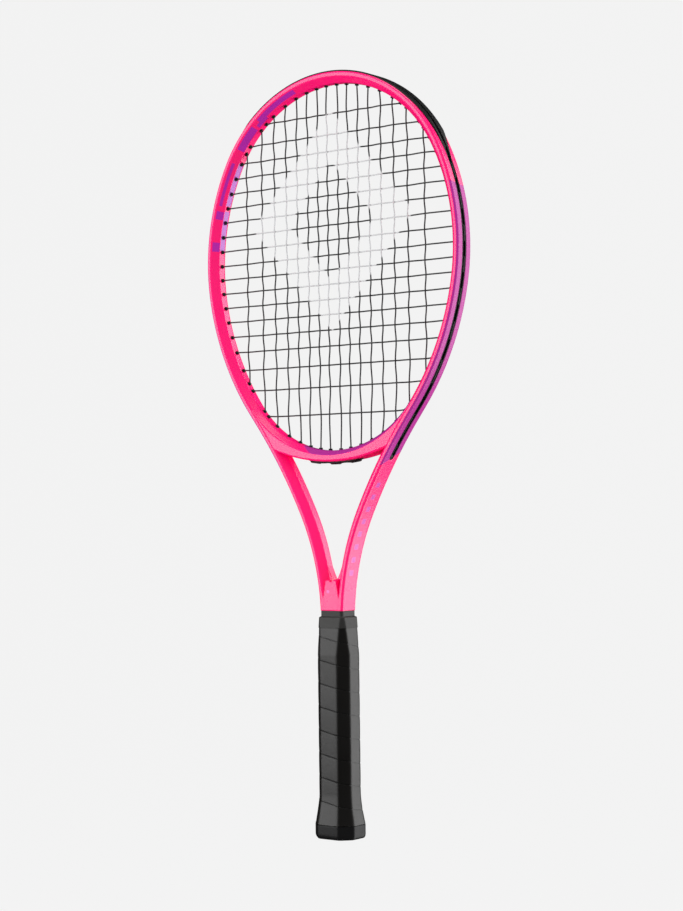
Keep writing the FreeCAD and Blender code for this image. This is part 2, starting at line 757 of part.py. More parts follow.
def butt_cap():
    rim = octagon_stack([(0, CAP_RIM_X, CAP_RIM_Y, CAP_RIM_BEVEL),
                         (CAP_RIM_HEIGHT, CAP_RIM_X, CAP_RIM_Y, CAP_RIM_BEVEL)])
    base = [edge for edge in rim.Edges if edge.BoundBox.ZMax < 0.01]
    rim = rim.makeFillet(CAP_ROUND, base)
    levels = skirt_levels(0)
    foot = (CAP_RIM_HEIGHT - 1,) + levels[0][1:]
    cap = rim.fuse(octagon_stack([foot] + levels)).removeSplitter()
    cap = cap.cut(pallet_stack(FIT_GAP, CAP_FLOOR, CAP_SKIRT_TOP + 200))
    gap = DOOR_GAP
    recess = box((-DOOR_HALF_X - gap, -DOOR_HALF_Y - gap, -1),
                 (DOOR_HALF_X + gap, DOOR_HALF_Y + gap, DOOR_RECESS + DOOR_THICK + 0.1))
    x, y = DOOR_HALF_X - DOOR_LEDGE + gap, DOOR_HALF_Y - DOOR_LEDGE + gap
    opening = box((-x, -y, -1), (x, y, CAP_FLOOR + 1))
    return cap.cut([recess, opening])


def trap_door():
    """The snap-in end plate: a plate in the cap's recess, with two springy legs above it."""
    x, y = DOOR_HALF_X, DOOR_HALF_Y
    plate = box((-x, -y, DOOR_RECESS), (x, y, DOOR_RECESS + DOOR_THICK))
    corners = [edge for edge in plate.Edges if edge.BoundBox.ZLength > DOOR_THICK / 2]
    plate = plate.makeFillet(DOOR_CORNER, corners)
    outer = x - DOOR_LEG_INSET
    leg = box((outer - DOOR_LEG_THICK, -DOOR_LEG_HALF, DOOR_RECESS + 1),
              (outer, DOOR_LEG_HALF, DOOR_LEG_TOP))
    notch = Part.makeCylinder(DOOR_NOTCH, DOOR_THICK / 2, Vec(0, -y, DOOR_RECESS - 0.01))
    return joined([plate] + both_sides([leg])).cut(notch)


def staple(half_crown, leg):
    """A staple with its crown on the XZ plane at y = 0 and its legs along +Y."""
    half = STAPLE_WIDE / 2
    crown = box((-half_crown, 0, -half), (half_crown, STAPLE_THICK, half))
    legs = [box((half_crown - STAPLE_THICK, 0, -half), (half_crown, leg, half))]
    return joined([crown] + both_sides(legs))


def skirt_face(z):
    """The skirt's half width and half depth at a height."""
    low, high = skirt_levels(0)
    share = (z - low[0]) / (high[0] - low[0])
    return [a + share * (b - a) for a, b in zip(low[1:3], high[1:3])]


def cap_staples():
    front = staple(CAP_STAPLE_HALF, CAP_STAPLE_LEG)
    front.translate(Vec(0, STAPLE_SUNK - skirt_face(CAP_STAPLE_Z)[1], CAP_STAPLE_Z))
    return Part.makeCompound([front, front.mirror(Vec(0, 0, 0), DEPTH)])


def grip_tack():
    """The staple that holds the start of the grip against the cap's skirt."""
    tack = staple(TACK_HALF, TACK_LEG)
    tack.rotate(Vec(0, 0, 0), UP, 90)
    tack.translate(Vec(skirt_face(TACK_Z)[0] - TACK_SUNK, 0, TACK_Z))
    return tack


def wrap_levels(grow=0.0):
    spread = grow * (2 - math.sqrt(2))
    wall = WRAP_THICK
    bevel = PALLET_BEVEL + wall * (2 - math.sqrt(2))
    full = (PALLET_HALF_X + wall + grow, PALLET_HALF_Y + wall + grow, bevel + spread)
    low = (CAP_RIM_X - 0.2 + grow, CAP_RIM_Y - 0.2 + grow, CAP_RIM_BEVEL + spread)
    slim = (PALLET_TOP_X + wall + grow, PALLET_TOP_Y + wall + grow,
            PALLET_TOP_BEVEL + wall * (2 - math.sqrt(2)) + spread)
    return [(WRAP_BOTTOM,) + low, (WRAP_FLARE_TOP,) + full, (TAPER_START,) + full,
            (PALLET_TOP,) + slim]


def grip_wrap(covered):
    body = octagon_stack(wrap_levels())
    inside = pallet_stack(0.0, 0.0, PALLET_TOP)
    return body.cut([inside] + covered)


def sleeve_part(solid, low, high):
    return solid.common(box((-40, -40, low), (40, 40, high)))


def finishing_tape():
    ring = octagon_stack(wrap_levels(TAPE_THICK)).cut(octagon_stack(wrap_levels()))
    return sleeve_part(ring, COLLAR_BOTTOM + 0.5, COLLAR_BOTTOM + TAPE_WIDE)


def grip_collar():
    neck_x, neck_y = LEG_HALF_X + COLLAR_WALL + 0.1, LEG_HALF_Y + COLLAR_WALL
    levels = [(COLLAR_BOTTOM,) + COLLAR_SKIRT, (COLLAR_STEP - 0.5,) + COLLAR_SHOULDER,
              (COLLAR_STEP + 0.5, neck_x, neck_y, LEG_BEVEL + COLLAR_NECK_ROUND),
              (COLLAR_TOP, neck_x, neck_y, LEG_BEVEL + COLLAR_NECK_ROUND - 0.1)]
    body = octagon_stack(levels)
    wrap = sleeve_part(octagon_stack(wrap_levels(TAPE_THICK + FIT_GAP)), TAPER_START,
                       COLLAR_BOTTOM + TAPE_WIDE + 0.2)
    upper = sleeve_part(octagon_stack(wrap_levels(FIT_GAP)), TAPER_START, PALLET_TOP + 1)
    return body.cut([wrap, upper, leg_block(FIT_GAP)])


# ---- the racket ----

os.makedirs("parts", exist_ok=True)
cap = butt_cap()
staples = cap_staples()
tack = grip_tack()
right_strip = side_strip()
shapes = {
    "frame": frame(),
    "throat_bridge": throat_bridge(),
    "bumper_guard": bumper_guard(),
    "grommet_strip_right": right_strip,
    "grommet_strip_left": right_strip.mirror(Vec(0, 0, 0), Vec(1, 0, 0)),
    "bridge_grommet_strip": bridge_strip(),
    "main_string": main_string(),
    "cross_string": cross_string(),
    "pallet_front": pallet(-1),
    "pallet_back": pallet(1),
    "butt_cap": cap,
    "cap_staples": staples,
    "trap_door": trap_door(),
    "grip_wrap": grip_wrap([cap, staples, tack]),
    "grip_tack": tack,
    "finishing_tape": finishing_tape(),
    "grip_collar": grip_collar(),
}
for name, shape in shapes.items():
    print(name, len(shape.Solids), "solid", round(shape.Volume / 1000, 2), "cm3", shape.isValid())
    shape.exportStep("parts/" + name + ".step")
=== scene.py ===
import math

import bmesh
import bpy
import numpy as np
from mathutils import Euler, Matrix, Vector


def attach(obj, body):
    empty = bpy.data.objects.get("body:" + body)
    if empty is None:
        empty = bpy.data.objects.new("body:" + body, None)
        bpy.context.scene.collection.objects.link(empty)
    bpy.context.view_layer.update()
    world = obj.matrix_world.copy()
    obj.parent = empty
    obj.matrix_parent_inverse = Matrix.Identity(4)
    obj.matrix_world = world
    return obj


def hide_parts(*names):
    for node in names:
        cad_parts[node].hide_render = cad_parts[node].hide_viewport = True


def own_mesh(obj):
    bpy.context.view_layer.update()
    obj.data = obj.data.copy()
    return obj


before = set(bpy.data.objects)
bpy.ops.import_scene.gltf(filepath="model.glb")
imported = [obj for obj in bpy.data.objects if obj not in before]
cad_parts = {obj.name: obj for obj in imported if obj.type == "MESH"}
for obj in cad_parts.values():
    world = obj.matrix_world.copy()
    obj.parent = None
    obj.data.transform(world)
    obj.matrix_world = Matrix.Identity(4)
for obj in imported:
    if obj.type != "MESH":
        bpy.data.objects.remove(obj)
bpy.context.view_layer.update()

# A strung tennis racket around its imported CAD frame. Lengths in the dictionaries are millimetres,
# angles are degrees, and meshes are in metres: z runs up the handle, the front faces -Y.

mm = 0.001
print("frame loaded:", len(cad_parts), "nodes")


cameraSetup = dict(place=(1.0932, -1.4436, 0.2896), azimuth=37.0, roll=-0.70, sensor=36.0, lens=79.86,
                   shift=0.0643)


# It stands at its place, looks level along its azimuth, and is rolled about that line.
def addCamera(setup):
    data = bpy.data.cameras.new("racketCamera")
    data.sensor_fit = "VERTICAL"
    data.sensor_height = setup["sensor"]
    data.lens = setup["lens"]
    data.shift_y = setup["shift"]
    data.clip_end = 50.0
    camera = bpy.data.objects.new("racketCamera", data)
    camera.rotation_mode = "XYZ"
    camera.location = setup["place"]
    level = Euler((math.pi / 2, 0, math.radians(setup["azimuth"]))).to_matrix()
    camera.rotation_euler = (level @ Matrix.Rotation(math.radians(setup["roll"]), 3, "Z")).to_euler()
    bpy.context.scene.collection.objects.link(camera)
    bpy.context.scene.camera = camera


lightSetup = dict(
    leftBox=dict(place=(-1.9, -2.3, 1.15), aim=(0.0, 0.0, 1.15), size=(1.7, 3.2), power=66.0),
    rightBox=dict(place=(2.2, 2.2, 0.5), aim=(0.0, 0.0, 0.5), size=(2.2, 6.0), power=146.0),
    topBox=dict(place=(0.2, -0.4, 2.6), aim=(0.0, 0.0, 0.36), size=(1.2, 1.2), power=14.0),
    world=(1.0, 1.0, 1.0), diffuseStrength=0.86, mirrorStrength=0.0)


# Soft boxes, each turned to its aim, and a white world that fills shadows and that gloss doesn't
# mirror: its strength is a multiply-add of the ray's kind.
def addLights(setup):
    for name in ("leftBox", "rightBox", "topBox"):
        values = setup[name]
        data = bpy.data.lights.new(name, "AREA")
        data.shape = "RECTANGLE"
        data.size, data.size_y = values["size"]
        data.energy = values["power"]
        light = bpy.data.objects.new(name, data)
        light.location = values["place"]
        light.rotation_euler = (Vector(values["aim"]) - light.location).to_track_quat("-Z", "Y").to_euler()
        bpy.context.scene.collection.objects.link(light)
    world = bpy.data.worlds.new("studioWorld")
    world.use_nodes = True
    tree = world.node_tree
    background = tree.nodes["Background"]
    background.inputs["Color"].default_value = setup["world"] + (1.0,)
    rays = tree.nodes.new("ShaderNodeLightPath")
    strength = tree.nodes.new("ShaderNodeMath")
    strength.operation = "MULTIPLY_ADD"
    tree.links.new(rays.outputs["Is Glossy Ray"], strength.inputs[0])
    strength.inputs[1].default_value = setup["mirrorStrength"] - setup["diffuseStrength"]
    strength.inputs[2].default_value = setup["diffuseStrength"]
    tree.links.new(strength.outputs[0], background.inputs["Strength"])
    bpy.context.scene.world = world


stageSetup = dict(floor=-0.34, half=9.0, wall=4.0, bend=1.6, height=7.0, glow=0.872, shade=0.02)


# A floor that bends up into a wall: a strip along x, whose profile is a run, a quarter turn and a run.
def addStage(setup):
    turn = np.linspace(0, math.pi / 2, 24)
    alongY = np.concatenate([[-setup["half"]], setup["wall"] - setup["bend"] + setup["bend"] * np.sin(turn),
                             [setup["wall"]]])
    alongZ = setup["floor"] + np.concatenate([[0], setup["bend"] * (1 - np.cos(turn)), [setup["height"]]])
    rows = len(alongY)
    points = np.zeros((rows, 2, 3))
    points[:, 0, 0], points[:, 1, 0] = -setup["half"], setup["half"]
    points[:, :, 1], points[:, :, 2] = alongY[:, None], alongZ[:, None]
    first = np.arange(rows - 1)[:, None] * 2
    mesh = bpy.data.meshes.new("studioFloor")
    mesh.from_pydata(points.reshape(-1, 3).tolist(), [], (first + np.array([0, 1, 3, 2])).tolist())
    mesh.shade_smooth()
    floor = bpy.data.objects.new("studioFloor", mesh)
    paint = bpy.data.materials.new("palePaper")
    paint.use_nodes = True
    shader = paint.node_tree.nodes["Principled BSDF"]
    shader.inputs["Base Color"].default_value = (setup["shade"],) * 3 + (1.0,)
    shader.inputs["Specular IOR Level"].default_value = 0.0
    shader.inputs["Roughness"].default_value = 1.0
    shader.inputs["Emission Color"].default_value = (setup["glow"],) * 3 + (1.0,)
    shader.inputs["Emission Strength"].default_value = 1.0
    mesh.materials.append(paint)
    bpy.context.scene.collection.objects.link(floor)
    floor.visible_glossy = False
    floor.visible_diffuse = False
    floor.visible_shadow = False


addCamera(cameraSetup)
addLights(lightSetup)
addStage(stageSetup)
bpy.context.scene.view_settings.view_transform = "Standard"
print("camera, lights and stage set")


# Short names for the few node types that the finishes use.
class Nodes:
    def __init__(self, name):
        self.material = bpy.data.materials.new(name)
        self.material.use_nodes = True
        self.tree = self.material.node_tree
        self.shader = self.tree.nodes["Principled BSDF"]

    def put(self, socket, value):
        if isinstance(value, bpy.types.NodeSocket):
            self.tree.links.new(value, socket)
        elif isinstance(value, tuple) and len(value) == 3 and socket.type == "RGBA":
            socket.default_value = value + (1.0,)
        else:
            socket.default_value = value

    def math(self, operation, *values, clamp=False):
        node = self.tree.nodes.new("ShaderNodeMath")
        node.operation = operation
        node.use_clamp = clamp
        for socket, value in zip(node.inputs, values):
            self.put(socket, value)
        return node.outputs[0]

    def attribute(self, name):
        node = self.tree.nodes.new("ShaderNodeAttribute")
        node.attribute_name = name
        return node.outputs["Fac"]

    def place(self):
        return self.tree.nodes.new("ShaderNodeTexCoord").outputs["Object"]

    def axes(self, vector):
        node = self.tree.nodes.new("ShaderNodeSeparateXYZ")
        self.put(node.inputs[0], vector)
        return node.outputs

    def stretched(self, scale):
        node = self.tree.nodes.new("ShaderNodeMapping")
        self.put(node.inputs["Vector"], self.place())
        node.inputs["Scale"].default_value = scale
        return node.outputs[0]

    def noise(self, scale, detail=3.0, vector=None):
        node = self.tree.nodes.new("ShaderNodeTexNoise")
        self.put(node.inputs["Vector"], vector or self.place())
        node.inputs["Scale"].default_value = scale
        node.inputs["Detail"].default_value = detail
        return node.outputs["Fac"]

    def cells(self, scale, feature="DISTANCE_TO_EDGE", vector=None):
        node = self.tree.nodes.new("ShaderNodeTexVoronoi")
        node.feature = feature
        self.put(node.inputs["Vector"], vector or self.place())
        node.inputs["Scale"].default_value = scale
        return node.outputs["Distance"]

    # 1 where value lies between low and high, falling to 0 over soft at each side.
    def between(self, value, low, high, soft):
        rise = self.math("DIVIDE", self.math("SUBTRACT", value, low), soft, clamp=True)
        fall = self.math("DIVIDE", self.math("SUBTRACT", high, value), soft, clamp=True)
        return self.math("MULTIPLY", rise, fall)

    def mixed(self, share, first, second):
        node = self.tree.nodes.new("ShaderNodeMix")
        node.data_type = "RGBA"
        self.put(node.inputs["Factor"], share)
        colours = [socket for socket in node.inputs if socket.type == "RGBA"]
        self.put(colours[0], first)
        self.put(colours[1], second)
        return [socket for socket in node.outputs if socket.type == "RGBA"][0]

    # Value from 0 to 1 mapped to low to high, in one math node.
    def ramp(self, value, low, high):
        return self.math("MULTIPLY_ADD", value, high - low, low)

    def bump(self, height, distance, strength=1.0):
        node = self.tree.nodes.new("ShaderNodeBump")
        self.put(node.inputs["Height"], height)
        node.inputs["Distance"].default_value = distance
        node.inputs["Strength"].default_value = strength
        self.put(self.shader.inputs["Normal"], node.outputs[0])

    def set(self, **values):
        for name, value in values.items():
            socket = {"baseColor": "Base Color", "roughness": "Roughness", "coat": "Coat Weight",
                      "coatRoughness": "Coat Roughness", "specular": "Specular IOR Level",
                      "metallic": "Metallic"}[name]
            self.put(self.shader.inputs[socket], value)
        return self.material


lacquer = dict(pink=(0.985, 0.0, 0.17), deepPink=(0.96, 0.0, 0.15), lilac=(0.43, 0.025, 0.27),
               lilacDeep=(0.36, 0.018, 0.235), mark=(0.43, 0.010, 0.37), paleMark=(0.34, 0.05, 0.40),
               lilacTop=572.0, topSlope=0.15, lilacLow=338.0, lowSlope=-0.6, soft=0.0002,
               frontDepth=-3.8, wallFrom=9.3, wallHalf=3.4,
               bridgeLilac=dict(slope=2.6, start=-36.0, fade=4.0, upper=4.6),
               cloud=(9.0, 4.0), mottle=60.0, rough=(0.25, 0.31), coatRoughness=0.18,
               dot=dict(x=-3.0, z=220.5, radius=1.7, strength=0.5, colour=(0.42, 0.18, 0.66)))

# Marks on the left of the head: (start and end along the outer wall from the crown, nearest and
# furthest distance from the outer wall). They stand in for lettering and say nothing.
headMarks = [(39.0, 89.0, 5.0, 8.2), (80.0, 94.0, 7.0, 9.4), (97.0, 124.0, 5.0, 9.4),
             (138.0, 181.0, 5.6, 7.6), (186.0, 194.0, 5.0, 9.4), (216.0, 225.0, 5.0, 9.4)]
wallMarks = [(136.0, 180.0), (185.0, 224.0)]
armTicks = dict(first=468.0, pitch=12.0, count=8, length=5.2, low=-4.2, high=1.6, strength=0.75)


# The pink and the lilac, each drifting a little between two tones with one noise.
def paintTones(n, settings):
    cloud = n.noise(*settings["cloud"])
    return (n.mixed(cloud, settings["pink"], settings["deepPink"]),
            n.mixed(cloud, settings["lilac"], settings["lilacDeep"]))


# Gloss paint in three colours, laid out by the distance along the tube and round its section.
def neonLacquer(settings):
    n = Nodes("neonLacquer")
    soft = settings["soft"]
    along = n.attribute("along")
    inward = n.attribute("inward")
    depth = n.attribute("depth")
    height = n.axes(n.place())[2]
    right = n.math("GREATER_THAN", along, 0.0)
    distance = n.math("ABSOLUTE", along)
    outerWall = n.between(inward, -0.01, 0.0016, soft)
    upper = n.math("MULTIPLY_ADD", depth, settings["topSlope"], height)
    lower = n.math("MULTIPLY_ADD", depth, settings["lowSlope"], height)
    side = n.math("MULTIPLY", n.between(upper, 0.0, settings["lilacTop"] * mm, soft),
                  n.between(lower, settings["lilacLow"] * mm, 1.0, soft))
    side = n.math("MULTIPLY", outerWall, side)
    pink, lilac = paintTones(n, settings)
    colour = n.mixed(side, pink, lilac)
    left = n.math("LESS_THAN", along, 0.0)
    front = n.math("LESS_THAN", depth, settings["frontDepth"] * mm)
    spots = 0.0
    for start, end, near, far in headMarks:
        spot = n.math("MULTIPLY", n.between(distance, start * mm, end * mm, soft),
                      n.between(inward, near * mm, far * mm, soft))
        spots = n.math("MAXIMUM", spots, spot)
    spots = n.math("MULTIPLY", n.math("MULTIPLY", spots, left), front)
    colour = n.mixed(spots, colour, settings["mark"])
    wall = n.math("GREATER_THAN", inward, settings["wallFrom"] * mm)
    strip = 0.0
    for start, end in wallMarks:
        strip = n.math("MAXIMUM", strip, n.between(distance, start * mm, end * mm, soft))
    wallBand = n.between(depth, -settings["wallHalf"] * mm, settings["wallHalf"] * mm, soft)
    strip = n.math("MULTIPLY", n.math("MULTIPLY", strip, wall), n.math("MULTIPLY", left, wallBand))
    colour = n.mixed(strip, colour, settings["paleMark"])
    ticks = armTicks
    phase = n.math("SUBTRACT", distance, ticks["first"] * mm)
    tick = n.math("LESS_THAN", n.math("MODULO", phase, ticks["pitch"] * mm), ticks["length"] * mm)
    span = n.between(phase, 0.0, ticks["pitch"] * ticks["count"] * mm, soft)
    band = n.between(depth, ticks["low"] * mm, ticks["high"] * mm, soft)
    tick = n.math("MULTIPLY", n.math("MULTIPLY", tick, span), n.math("MULTIPLY", band, right))
    tick = n.math("MULTIPLY", n.math("MULTIPLY", tick, outerWall), ticks["strength"])
    colour = n.mixed(tick, colour, settings["paleMark"])
    dot = settings["dot"]
    axes = n.axes(n.place())
    offX = n.math("POWER", n.math("SUBTRACT", axes[0], dot["x"] * mm), 2.0)
    offZ = n.math("POWER", n.math("SUBTRACT", axes[2], dot["z"] * mm), 2.0)
    gap = n.math("SQRT", n.math("ADD", offX, offZ))
    spot = n.math("MULTIPLY", n.between(gap, -1.0, dot["radius"] * mm, 0.0006), front)
    colour = n.mixed(n.math("MULTIPLY", spot, dot["strength"]), colour, dot["colour"])
    return n.set(baseColor=colour, roughness=n.ramp(n.noise(settings["mottle"]), *settings["rough"]),
                 coat=n.ramp(side, 0.3, 0.1), coatRoughness=settings["coatRoughness"],
                 specular=n.ramp(side, 0.38, 0.2))


# The bridge's paint: pink, with the lilac of the right side carried round its upper wall.
def bridgeLacquer(settings):
    n = Nodes("bridgeLacquer")
    across = n.axes(n.place())[0]
    inward = n.attribute("inward")
    edge = settings["bridgeLilac"]
    upper = n.math("LESS_THAN", inward, edge["upper"] * mm)
    start = n.math("MULTIPLY_ADD", inward, edge["slope"], edge["start"] * mm)
    share = n.math("DIVIDE", n.math("SUBTRACT", across, start), edge["fade"] * mm, clamp=True)
    pink, lilac = paintTones(n, settings)
    return n.set(baseColor=n.mixed(n.math("MULTIPLY", share, upper), pink, lilac),
                 roughness=n.ramp(n.noise(settings["mottle"]), *settings["rough"]), coat=0.3,
                 coatRoughness=settings["coatRoughness"], specular=0.38)


# Moulded nylon: one fine noise drives the bump and the roughness, a broad one the tone.
def blackNylon():
    n = Nodes("blackNylon")
    fine = n.noise(900.0, 4.0)
    n.bump(fine, 0.00006, 0.6)
    colour = n.mixed(n.noise(70.0), (0.004, 0.004, 0.0045), (0.009, 0.009, 0.0095))
    return n.set(baseColor=colour, roughness=n.ramp(fine, 0.42, 0.58), specular=0.32)


stencil = dict(centreX=-2.0, centreZ=553.0, halfX=91.0, halfZ=100.0, band=0.46)


# Dark polyester, with a stencilled open diamond in pale ink across the bed.
def stringFinish(settings):
    n = Nodes("polyesterString")
    axes = n.axes(n.place())
    across = n.math("SUBTRACT", axes[0], settings["centreX"] * mm)
    across = n.math("DIVIDE", across, settings["halfX"] * mm)
    up = n.math("SUBTRACT", axes[2], settings["centreZ"] * mm)
    up = n.math("DIVIDE", up, settings["halfZ"] * mm)
    reach = n.math("ADD", n.math("ABSOLUTE", across), n.math("ABSOLUTE", up))
    rough = n.math("MULTIPLY_ADD", n.noise(300.0), 0.03, reach)
    ink = n.between(rough, 1.0 - settings["band"], 1.015, 0.02)
    inked = n.mixed(n.noise(500.0), (0.46, 0.46, 0.47), (0.56, 0.56, 0.57))
    fibre = n.mixed(n.noise(200.0), (0.012, 0.012, 0.013), (0.028, 0.028, 0.03))
    n.bump(n.noise(1500.0), 0.00003, 0.4)
    return n.set(baseColor=n.mixed(ink, fibre, inked), roughness=0.38, specular=0.4)


# Smooth synthetic leather: a fine pebble, faint pores, and a dark line painted as shade in the step under
# each lap.
def gripFinish():
    n = Nodes("gripLeather")
    lap = n.attribute("lap")
    grain = n.cells(900.0, "F1")
    pores = n.cells(260.0)
    # Painted shade: the leather is darkened along the step at the foot of each lap, where the lap above
    # overhangs it.
    lapShade = n.math("DIVIDE", n.math("SUBTRACT", 0.045, lap), 0.045, clamp=True)
    rub = n.noise(22.0, 5.0)
    colour = n.mixed(rub, (0.0040, 0.0034, 0.0030), (0.0090, 0.0078, 0.0066))
    colour = n.mixed(lapShade, colour, (0.002, 0.002, 0.002))
    height = n.math("MULTIPLY_ADD", pores, 0.4, n.math("MULTIPLY_ADD", grain, 0.5, n.noise(160.0)))
    n.bump(height, 0.00012, 0.45)
    return n.set(baseColor=colour, roughness=n.ramp(rub, 0.35, 0.47), specular=0.5)


# Smoother moulded plastic: a slight bump, with tone and roughness drifting on broad noises.
def capGloss():
    n = Nodes("capGloss")
    n.bump(n.noise(500.0, 2.0), 0.00002, 0.3)
    colour = n.mixed(n.noise(60.0), (0.004, 0.004, 0.0045), (0.008, 0.008, 0.0085))
    return n.set(baseColor=colour, roughness=n.ramp(n.noise(90.0), 0.34, 0.44), specular=0.22)


# Dull rubber: a fine noise drives the bump and the roughness.
def collarRubber():
    n = Nodes("collarRubber")
    fine = n.noise(1100.0, 3.0)
    n.bump(fine, 0.00005, 0.7)
    colour = n.mixed(n.noise(120.0), (0.018, 0.0174, 0.0164), (0.028, 0.0268, 0.025))
    return n.set(baseColor=colour, roughness=n.ramp(fine, 0.48, 0.62), specular=0.45)


# Dark foam: small cells drive the bump and the tone.
def palletFoam():
    n = Nodes("palletFoam")
    pores = n.cells(700.0)
    n.bump(pores, 0.0002, 0.8)
    return n.set(baseColor=n.mixed(pores, (0.02, 0.02, 0.02), (0.05, 0.05, 0.052)), roughness=0.85)


# Drawn wire: noise stretched along x drives the bump, the tone and the roughness.
def stapleSteel():
    n = Nodes("stapleSteel")
    drawn = n.noise(600.0, 2.0, n.stretched((0.1, 1.0, 1.0)))
    n.bump(drawn, 0.00002, 0.5)
    return n.set(baseColor=n.mixed(drawn, (0.45, 0.45, 0.46), (0.62, 0.62, 0.64)), metallic=1.0,
                 roughness=n.ramp(drawn, 0.25, 0.4))


# Woven tape: noise stretched along z drives the bump and the tone.
def tapeFabric():
    n = Nodes("tapeFabric")
    weave = n.noise(1400.0, 2.0, n.stretched((1.0, 1.0, 0.3)))
    n.bump(weave, 0.00008, 0.6)
    return n.set(baseColor=n.mixed(weave, (0.012, 0.012, 0.012), (0.035, 0.035, 0.035)), roughness=0.6)


finishes = dict(lacquer=neonLacquer(lacquer), bridge=bridgeLacquer(lacquer), nylon=blackNylon(),
                string=stringFinish(stencil), grip=gripFinish(), cap=capGloss(),
                collar=collarRubber(), foam=palletFoam(), steel=stapleSteel(), tape=tapeFabric())
print("finishes made:", len(finishes))


# Three t squared less two t cubed, with t held between 0 and 1.
def eased(t):
    t = np.clip(t, 0, 1)
    return t * t * (3 - 2 * t)


# A named object from an array of points and arrays of faces. Points that meet are welded.
def meshPiece(name, points, faces, material, attributes=None, weld=1e-7):
    mesh = bpy.data.meshes.new(name)
    lists = [row for block in faces for row in np.asarray(block).tolist()]
    mesh.from_pydata(points.reshape(-1, 3).tolist(), [], lists)
    for key, values in (attributes or {}).items():
        data = mesh.attributes.new(key, "FLOAT", "POINT").data
        data.foreach_set("value", np.ascontiguousarray(values, np.float32).ravel())
    work = bmesh.new()
    work.from_mesh(mesh)
    bmesh.ops.remove_doubles(work, verts=work.verts, dist=weld)
    bmesh.ops.dissolve_degenerate(work, edges=work.edges, dist=weld)
    bmesh.ops.recalc_face_normals(work, faces=work.faces)
    work.to_mesh(mesh)
    work.free()
    mesh.shade_smooth()
    mesh.materials.append(material)
    piece = bpy.data.objects.new(name, mesh)
    bpy.context.scene.collection.objects.link(piece)
    return piece


# Quads of a rows by columns grid of points, closed round either way where asked.
def gridFaces(rows, columns, closeColumns=True, closeRows=False, first=0):
    i = np.arange(rows if closeRows else rows - 1)
    j = np.arange(columns if closeColumns else columns - 1)
    i, j = np.meshgrid(i, j, indexing="ij")
    below, beside = (i + 1) % rows, (j + 1) % columns
    corners = [i * columns + j, i * columns + beside, below * columns + beside, below * columns + j]
    return np.stack(corners, -1).reshape(-1, 4) + first


# Points round a polygon: each corner is a parabola between points a cut away along its two sides, and
# each side between them is divided evenly. corners is (rows, corners, 2 or 3).
def roundedLoop(corners, cuts, arcSteps, flatSteps):
    before, after = np.roll(corners, 1, 1) - corners, np.roll(corners, -1, 1) - corners
    lengths = [np.linalg.norm(side, axis=2, keepdims=True) + 1e-9 for side in (before, after)]
    room = 0.49 * np.minimum(lengths[0], lengths[1])
    cut = np.minimum(cuts[..., None], room)
    start, end = corners + before / lengths[0] * cut, corners + after / lengths[1] * cut
    t = np.linspace(0, 1, arcSteps)[:, None]
    arc = ((1 - t) ** 2 * start[:, :, None] + 2 * t * (1 - t) * corners[:, :, None]
           + t ** 2 * end[:, :, None])
    share = np.linspace(0, 1, flatSteps + 2)[1:-1, None]
    flat = end[:, :, None] * (1 - share) + np.roll(start, -1, 1)[:, :, None] * share
    ring = np.concatenate([arc, flat], 2)
    rows, count, steps, size = ring.shape
    return ring.reshape(rows, count * steps, size)


# A half section's corners on the +q side and their mirror images, as one closed loop.
def mirroredSection(corners, cuts):
    other = corners[:, ::-1] * np.array([1.0, -1.0])
    return np.concatenate([corners, other], 1), np.concatenate([cuts, cuts[:, ::-1]], 1)


# One face over each open end of a swept section.
def endCaps(rows, columns):
    loop = np.arange(columns)
    return [[loop[::-1]], [(rows - 1) * columns + loop]]


# The outer wall from the top down one side: radius or run, and turn. A negative turn bends outwards.
tube = dict(top=684.0, width=9.5, halfDepth=10.4, outerFlat=9.2, outerBevel=1.2, bevelStart=4.4,
            innerFlat=3.8, channelHalf=3.0, channelDepth=2.8, rowStep=2.6, fineStep=0.45, fineSpan=60.0,
            rounds=dict(floor=0.1, lip=0.3, outer=1.0, front=1.1, bevel=1.5, knee=0.6, ridge=0.4,
                        inner=1.5),
            line=[("crown", 133.2, 62.5), ("guardEnd", 197.5, 5.5), ("shoulder", 197.5, 32.0),
                  ("flank", 245.0, 26.7), ("run", 15.5, 0.0), ("armChannel", 498.0, -4.4),
                  ("arm", 498.0, -6.6), ("neck", 219.0, -23.45)])


# Distance, place (x, z) and heading along the right half: on an arc, the place is the centre plus the
# radius times (sine, cosine) of the heading, and on a run it moves straight.
def outlineSamples(settings, step):
    place, heading, travelled = np.array([0.0, settings["top"]]), 0.0, 0.0
    parts, marks = [], {}
    for name, size, turn in settings["line"]:
        angle = math.radians(turn)
        length = size if turn == 0 else size * abs(angle)
        s = np.linspace(0, length, max(3, int(length / step) + 1))
        if turn == 0:
            h = np.full_like(s, heading)
            at = place + s[:, None] * np.array([math.cos(heading), -math.sin(heading)])
        else:
            sense = math.copysign(1.0, turn)
            centre = place - sense * size * np.array([math.sin(heading), math.cos(heading)])
            h = heading + sense * s / size
            at = centre + sense * size * np.stack([np.sin(h), np.cos(h)], 1)
        marks[name] = (travelled, travelled + length)
        parts.append(np.column_stack([travelled + s, at, h])[:-1])
        place, heading, travelled = at[-1], h[-1], travelled + length
    parts.append(np.array([[travelled, place[0], place[1], heading]]))
    return np.concatenate(parts), marks


fineLine, lineMarks = outlineSamples(tube, 0.25)


# Place, inward normal and heading on the right half at distances s from the crown.
def lineAt(s):
    x, z, h = [np.interp(s, fineLine[:, 0], fineLine[:, k]) for k in (1, 2, 3)]
    return np.stack([x, z], -1), np.stack([-np.sin(h), -np.cos(h)], -1), h


